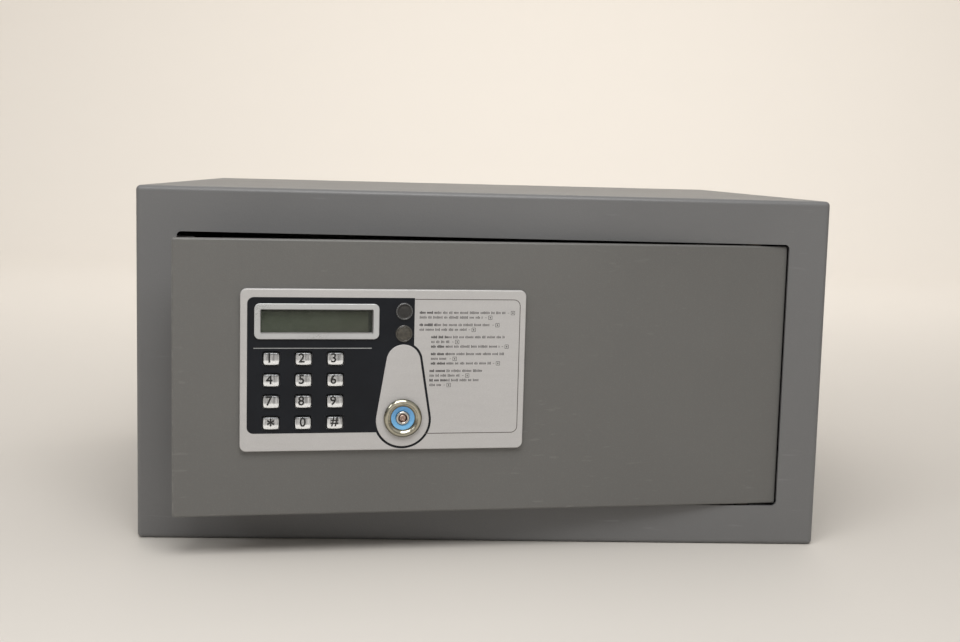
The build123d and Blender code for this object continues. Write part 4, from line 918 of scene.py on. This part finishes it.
def clusterRow(values, chance, left, end, height, bold):
    # ticks in clusters of random length and height, as (x, z, stretch across, stretch up)
    wide = values["boldWidth"] / values["tickWidth"]
    marks, x, remaining = [], left, chance.randint(*values["firstCluster"])
    while x < end:
        tall = chance.choice(values["talls"])
        across = wide if bold and x < left + values["boldUntil"] else 1.0
        marks.append((x, height + (tall - values["talls"][0]) * values["tallLift"], across, tall))
        remaining -= 1
        x += values["tickPitch"]
        if remaining == 0:
            x += values["tickPitch"] * values["clusterGap"]
            remaining = chance.randint(*values["cluster"])
    return marks


def rowBox(values, end, right, height):
    # a dash and a frame with a dot, as (x, z, stretch across, stretch up)
    size, half = values["boxSize"], values["boxSize"] / 2
    centre = right - half
    thin, flat = values["line"] / values["tickWidth"], values["line"] / values["tickHeight"]
    across, down = size / values["tickWidth"], size / values["tickHeight"]
    marks = []
    for side in (-half, half):
        marks += [(centre + side, height, thin, down), (centre, height + side, across, flat)]
    dotWidth, dotHeight = values["dot"]
    marks.append((centre, height, thin * dotWidth, down * dotHeight))
    marks.append((end + values["boxGap"] * values["dashPlace"], height, across * values["dashWidth"], flat))
    return marks


def printedTicks(values):
    chance = random.Random(values["seed"])
    marks = []
    height = values["firstRow"]
    for groupIndex, (left, rights) in enumerate(values["groups"]):
        for rowIndex, right in enumerate(rights):
            boxed = (groupIndex, rowIndex) not in values["withoutBox"]
            end = right - (values["boxGap"] + values["boxSize"] if boxed else 0)
            marks += clusterRow(values, chance, left, end, height, bold=rowIndex % 2 == 0)
            if boxed:
                marks += rowBox(values, end, right, height)
            height -= values["rowPitch"]
        height -= values["groupGap"]
    points = [(x * mm, plateFront - values["lift"] * mm, z * mm) for x, z, across, up in marks]
    stretches = [(across, 1.0, up) for x, z, across, up in marks]
    labels = dict(Width="tickWidth", Height="tickHeight", Thickness="thickness")
    sizes = {label: values[key] * mm for label, key in labels.items()}
    settings = dict(sizes, Ink=materials["inkDark"])
    return grown("printedTicks", points, "stretch", stretches, tickTree(sizes), settings), len(points)


ticks, tickCount = printedTicks(tickRows)
addPiece("printedTicks", ticks, "door", "overlay_black")
print("printed marks made:", tickCount)


# Screws in the lock case: the head's profile in shares of its radius and height, and the recess's two slots
screwShape = dict(
    radius=3.9, height=2, steps=48, recess=1.7, slot=0.85, slotDepth=1.1, taper=0.55, slotTurns=(45, 135),
    turns=(12, 57, -20, 33), smoothBelow=35,
    profile=[(1.0, 0.0), (1.0, 0.45), (0.96, 0.68), (0.84, 0.87), (0.62, 0.97), (0.0, 1.0)])


def slotCutter(turn):
    # a block that narrows downwards, turned about the screw's axis
    values = screwShape
    cutter = bmesh.new()
    bmesh.ops.create_cube(cutter, size=1)
    for vertex in cutter.verts:
        x, y, z = vertex.co
        taper = 1.0 if y > 0 else values["taper"]
        depth = (values["height"] + y * 2 * values["slotDepth"]) * mm
        vertex.co = (x * 2 * values["recess"] * mm * taper, depth, z * values["slot"] * mm * taper)
    spin = Matrix.Rotation(math.radians(turn), 3, "Y")
    bmesh.ops.rotate(cutter, verts=cutter.verts, cent=(0, 0, 0), matrix=spin)
    return addObject("cutter", meshFrom("cutter", cutter))


def screwHead():
    # a pan head with a cross recess, centred on the origin and facing +Y
    radius, height = screwShape["radius"], screwShape["height"]
    profile = [(radius * reach, height * rise) for reach, rise in screwShape["profile"]]
    turned = lathe("screwHead", profile, (0, 0), screwShape["steps"], base=0, capped=True)
    head = addObject("screwHead", turned)
    cutters = [slotCutter(turn) for turn in screwShape["slotTurns"]]
    for cutter in cutters:
        cut = head.modifiers.new("cut", "BOOLEAN")
        cut.object = cutter
        cut.operation = "DIFFERENCE"
        cut.solver = "EXACT"
    mesh = evaluatedMesh(head)
    for made in [head] + cutters:
        bpy.data.objects.remove(made)
    return smoothByAngle(mesh, screwShape["smoothBelow"])


def screwTree(master):
    # the copies are the master screw, each turned a little differently
    tree, entry, place = instancingTree("caseScrews", {"Size": 1.0}, "Plating", "turn", "Rotation")
    info = addNode(tree, "GeometryNodeObjectInfo", {"Object": master})
    tree.links.new(info.outputs["Geometry"], place.inputs["Instance"])
    tree.links.new(entry.outputs["Size"], place.inputs["Scale"])
    return tree


def caseScrews():
    low, high = shutBox("case_screws")
    reach = screwShape["radius"] * mm
    seat = high.y - screwShape["height"] * mm
    places = [(x, seat, z) for x in (low.x + reach, high.x - reach) for z in (low.z + reach, high.z - reach)]
    turns = [(0, math.radians(angle), 0) for angle in screwShape["turns"]]
    master = addObject("screwMaster", screwHead())
    settings = {"Size": 1.0, "Plating": materials["plated_steel"]}
    mesh = grown("caseScrews", places, "turn", turns, screwTree(master), settings)
    bpy.data.objects.remove(master)
    return mesh


addPiece("caseScrewHeads", caseScrews(), "door", "plated_steel", replaced=["case_screws"])
print("screws made")


# Floor mat: the CAD's own mat, its top worn into slight waves; a wave's rates are in radians per metre
matShape = dict(
    seed=3, rows=60, columns=72, dip=0.18, waves=6, rates=(12, 40), fullTurn=6.28, flatAngle=2,
    smoothBelow=40)


def floorMat():
    low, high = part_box("floor_mat")
    chance = random.Random(matShape["seed"])
    rates, fullTurn = matShape["rates"], matShape["fullTurn"]
    waves = [
        (chance.uniform(*rates), chance.uniform(*rates), chance.uniform(0, fullTurn))
        for _ in range(matShape["waves"])]
    shape = bmesh.new()
    shape.from_mesh(cadNodes["floor_mat"].data)
    bmesh.ops.remove_doubles(shape, verts=shape.verts, dist=1e-6)
    flat = math.radians(matShape["flatAngle"])
    bmesh.ops.dissolve_limit(shape, angle_limit=flat, verts=shape.verts, edges=shape.edges)
    for axis, count in ((0, matShape["columns"]), (1, matShape["rows"])):
        pitch = (high[axis] - low[axis]) / count
        sliceAcross(shape, axis, [low[axis] + pitch * index for index in range(1, count)])
    for vertex in shape.verts:
        if vertex.co.z > (low.z + high.z) / 2:
            wave = sum(math.sin(a * vertex.co.x + b * vertex.co.y + c) for a, b, c in waves) / len(waves)
            vertex.co.z -= matShape["dip"] * mm * (1 + wave) / 2
    bmesh.ops.triangulate(shape, faces=shape.faces)
    return smoothByAngle(meshFrom("floorMatFelt", shape), matShape["smoothBelow"])


mat = addPiece("floorMatFelt", floorMat(), "cabinet", "floor_felt", replaced=["floor_mat"], door=False)
print("floor mat made")


# Camera, floor and light: the camera's turn is an axis in degrees, as solved from the photograph
cameraValues = dict(
    place=(-0.04339, -0.90888, 0.21611), turn=(6.7798, -3.0363, 1.2875), lens=49.74, sensor=36, near=0.01)


def placeCamera():
    turn = Vector([math.radians(angle) for angle in cameraValues["turn"]])
    tilt = Matrix.Rotation(turn.length, 3, turn.normalized())
    rows = tilt @ Matrix(((1, 0, 0), (0, 0, -1), (0, 1, 0)))
    facing = Matrix((rows[0], -rows[1], -rows[2])).transposed()
    data = bpy.data.cameras.new("photoView")
    data.lens = cameraValues["lens"]
    data.sensor_width = cameraValues["sensor"]
    data.sensor_fit = "HORIZONTAL"
    data.clip_start = cameraValues["near"]
    camera = addObject("photoView", data)
    camera.matrix_world = Matrix.Translation(cameraValues["place"]) @ facing.to_4x4()
    bpy.context.scene.camera = camera


floorShape = dict(
    backReach=2.6, frontReach=6, bend=0.8, backHeight=3, rimHeight=0.9, rimPower=3, drop=0.05 * mm,
    around=96, bendSteps=10, colour=(0.68, 0.645, 0.60, 1), roughness=0.7)


def makeFloor(values):
    # a floor that curves up all round: into a tall backdrop behind the safe, and into a low rim elsewhere
    bend, drop = values["bend"], values["drop"]
    angles = [math.pi / 2 * step / values["bendSteps"] for step in range(values["bendSteps"] + 1)]
    shape = bmesh.new()
    centre = shape.verts.new((0, 0, -drop))
    rings = []
    for index in range(values["around"]):
        turn = 2 * math.pi * index / values["around"]
        behind = (1 + math.cos(turn)) / 2
        reach = values["frontReach"] + (values["backReach"] - values["frontReach"]) * behind
        rise = (values["backHeight"] - values["rimHeight"]) * behind ** values["rimPower"]
        profile = [(reach - bend * (1 - math.sin(angle)), bend * (1 - math.cos(angle))) for angle in angles]
        profile.append((reach, values["rimHeight"] + rise))
        places = [(out * math.sin(turn), out * math.cos(turn), up - drop) for out, up in profile]
        rings.append([shape.verts.new(place) for place in places])
    for first, second in zip(rings, rings[1:] + rings[:1]):
        shape.faces.new((centre, second[0], first[0]))
        for corners in zip(first, second, second[1:], first[1:]):
            shape.faces.new(corners)
    for face in shape.faces:
        face.smooth = True
    mesh = bpy.data.meshes.new("floor")
    shape.to_mesh(mesh)
    shape.free()
    material, tree, shader = newMaterial("paleFloor")
    shader.inputs["Base Color"].default_value = values["colour"]
    shader.inputs["Roughness"].default_value = values["roughness"]
    mesh.materials.append(material)
    piece = addObject("floor", mesh)


lamps = {
    "overheadSoftbox": dict(
        place=(-0.03, -0.60, 0.68), target=(0, -0.165, 0.16), size=(0.5, 0.35), power=3.3,
        colour=(1.0, 0.995, 0.985)),
    "backdropWash": dict(
        place=(0.3, 0.9, 1.9), target=(0, 2.5, 0.9), size=(2.2, 0.5), power=40, colour=(1.0, 0.965, 0.92)),
    "leftWindow": dict(
        place=(-1.2, -1.2, 1.2), target=(0, -0.15, 0.1), size=(0.3, 0.5), power=2.2,
        colour=(0.96, 0.98, 1.0))}


def addLamp(name, place, target, size, power, colour):
    data = bpy.data.lights.new(name, "AREA")
    data.shape = "RECTANGLE"
    data.size, data.size_y = size
    data.energy = power
    data.color = colour
    lamp = addObject(name, data)
    lamp.location = place
    lamp.rotation_euler = (Vector(target) - Vector(place)).to_track_quat("-Z", "Y").to_euler()


skyValues = dict(high=0.70, low=0.09, tint=(1.0, 0.985, 0.96, 1), upFrom=(0.05, 0.6), backFrom=(-0.2, 0.5))


def lightRoom(values):
    # a soft room: bright above and behind, darker on the viewer's side near the horizon
    world = bpy.data.worlds.new("room")
    world.use_nodes = True
    tree = world.node_tree
    way = coordinates(tree, "Generated")
    upward, backward = spread(way["Z"], 0, 1, *values["upFrom"]), spread(way["Y"], 0, 1, *values["backFrom"])
    strength = spread(calculate("MAXIMUM", upward, backward), values["low"], values["high"], 0, 1)
    background = tree.nodes["Background"]
    background.inputs["Color"].default_value = values["tint"]
    tree.links.new(strength, background.inputs["Strength"])
    bpy.context.scene.world = world


placeCamera()
makeFloor(floorShape)
lightRoom(skyValues)
for lampName, lamp in lamps.items():
    addLamp(lampName, **lamp)
bpy.context.scene.view_settings.view_transform = "Standard"
print("camera, floor and light set")
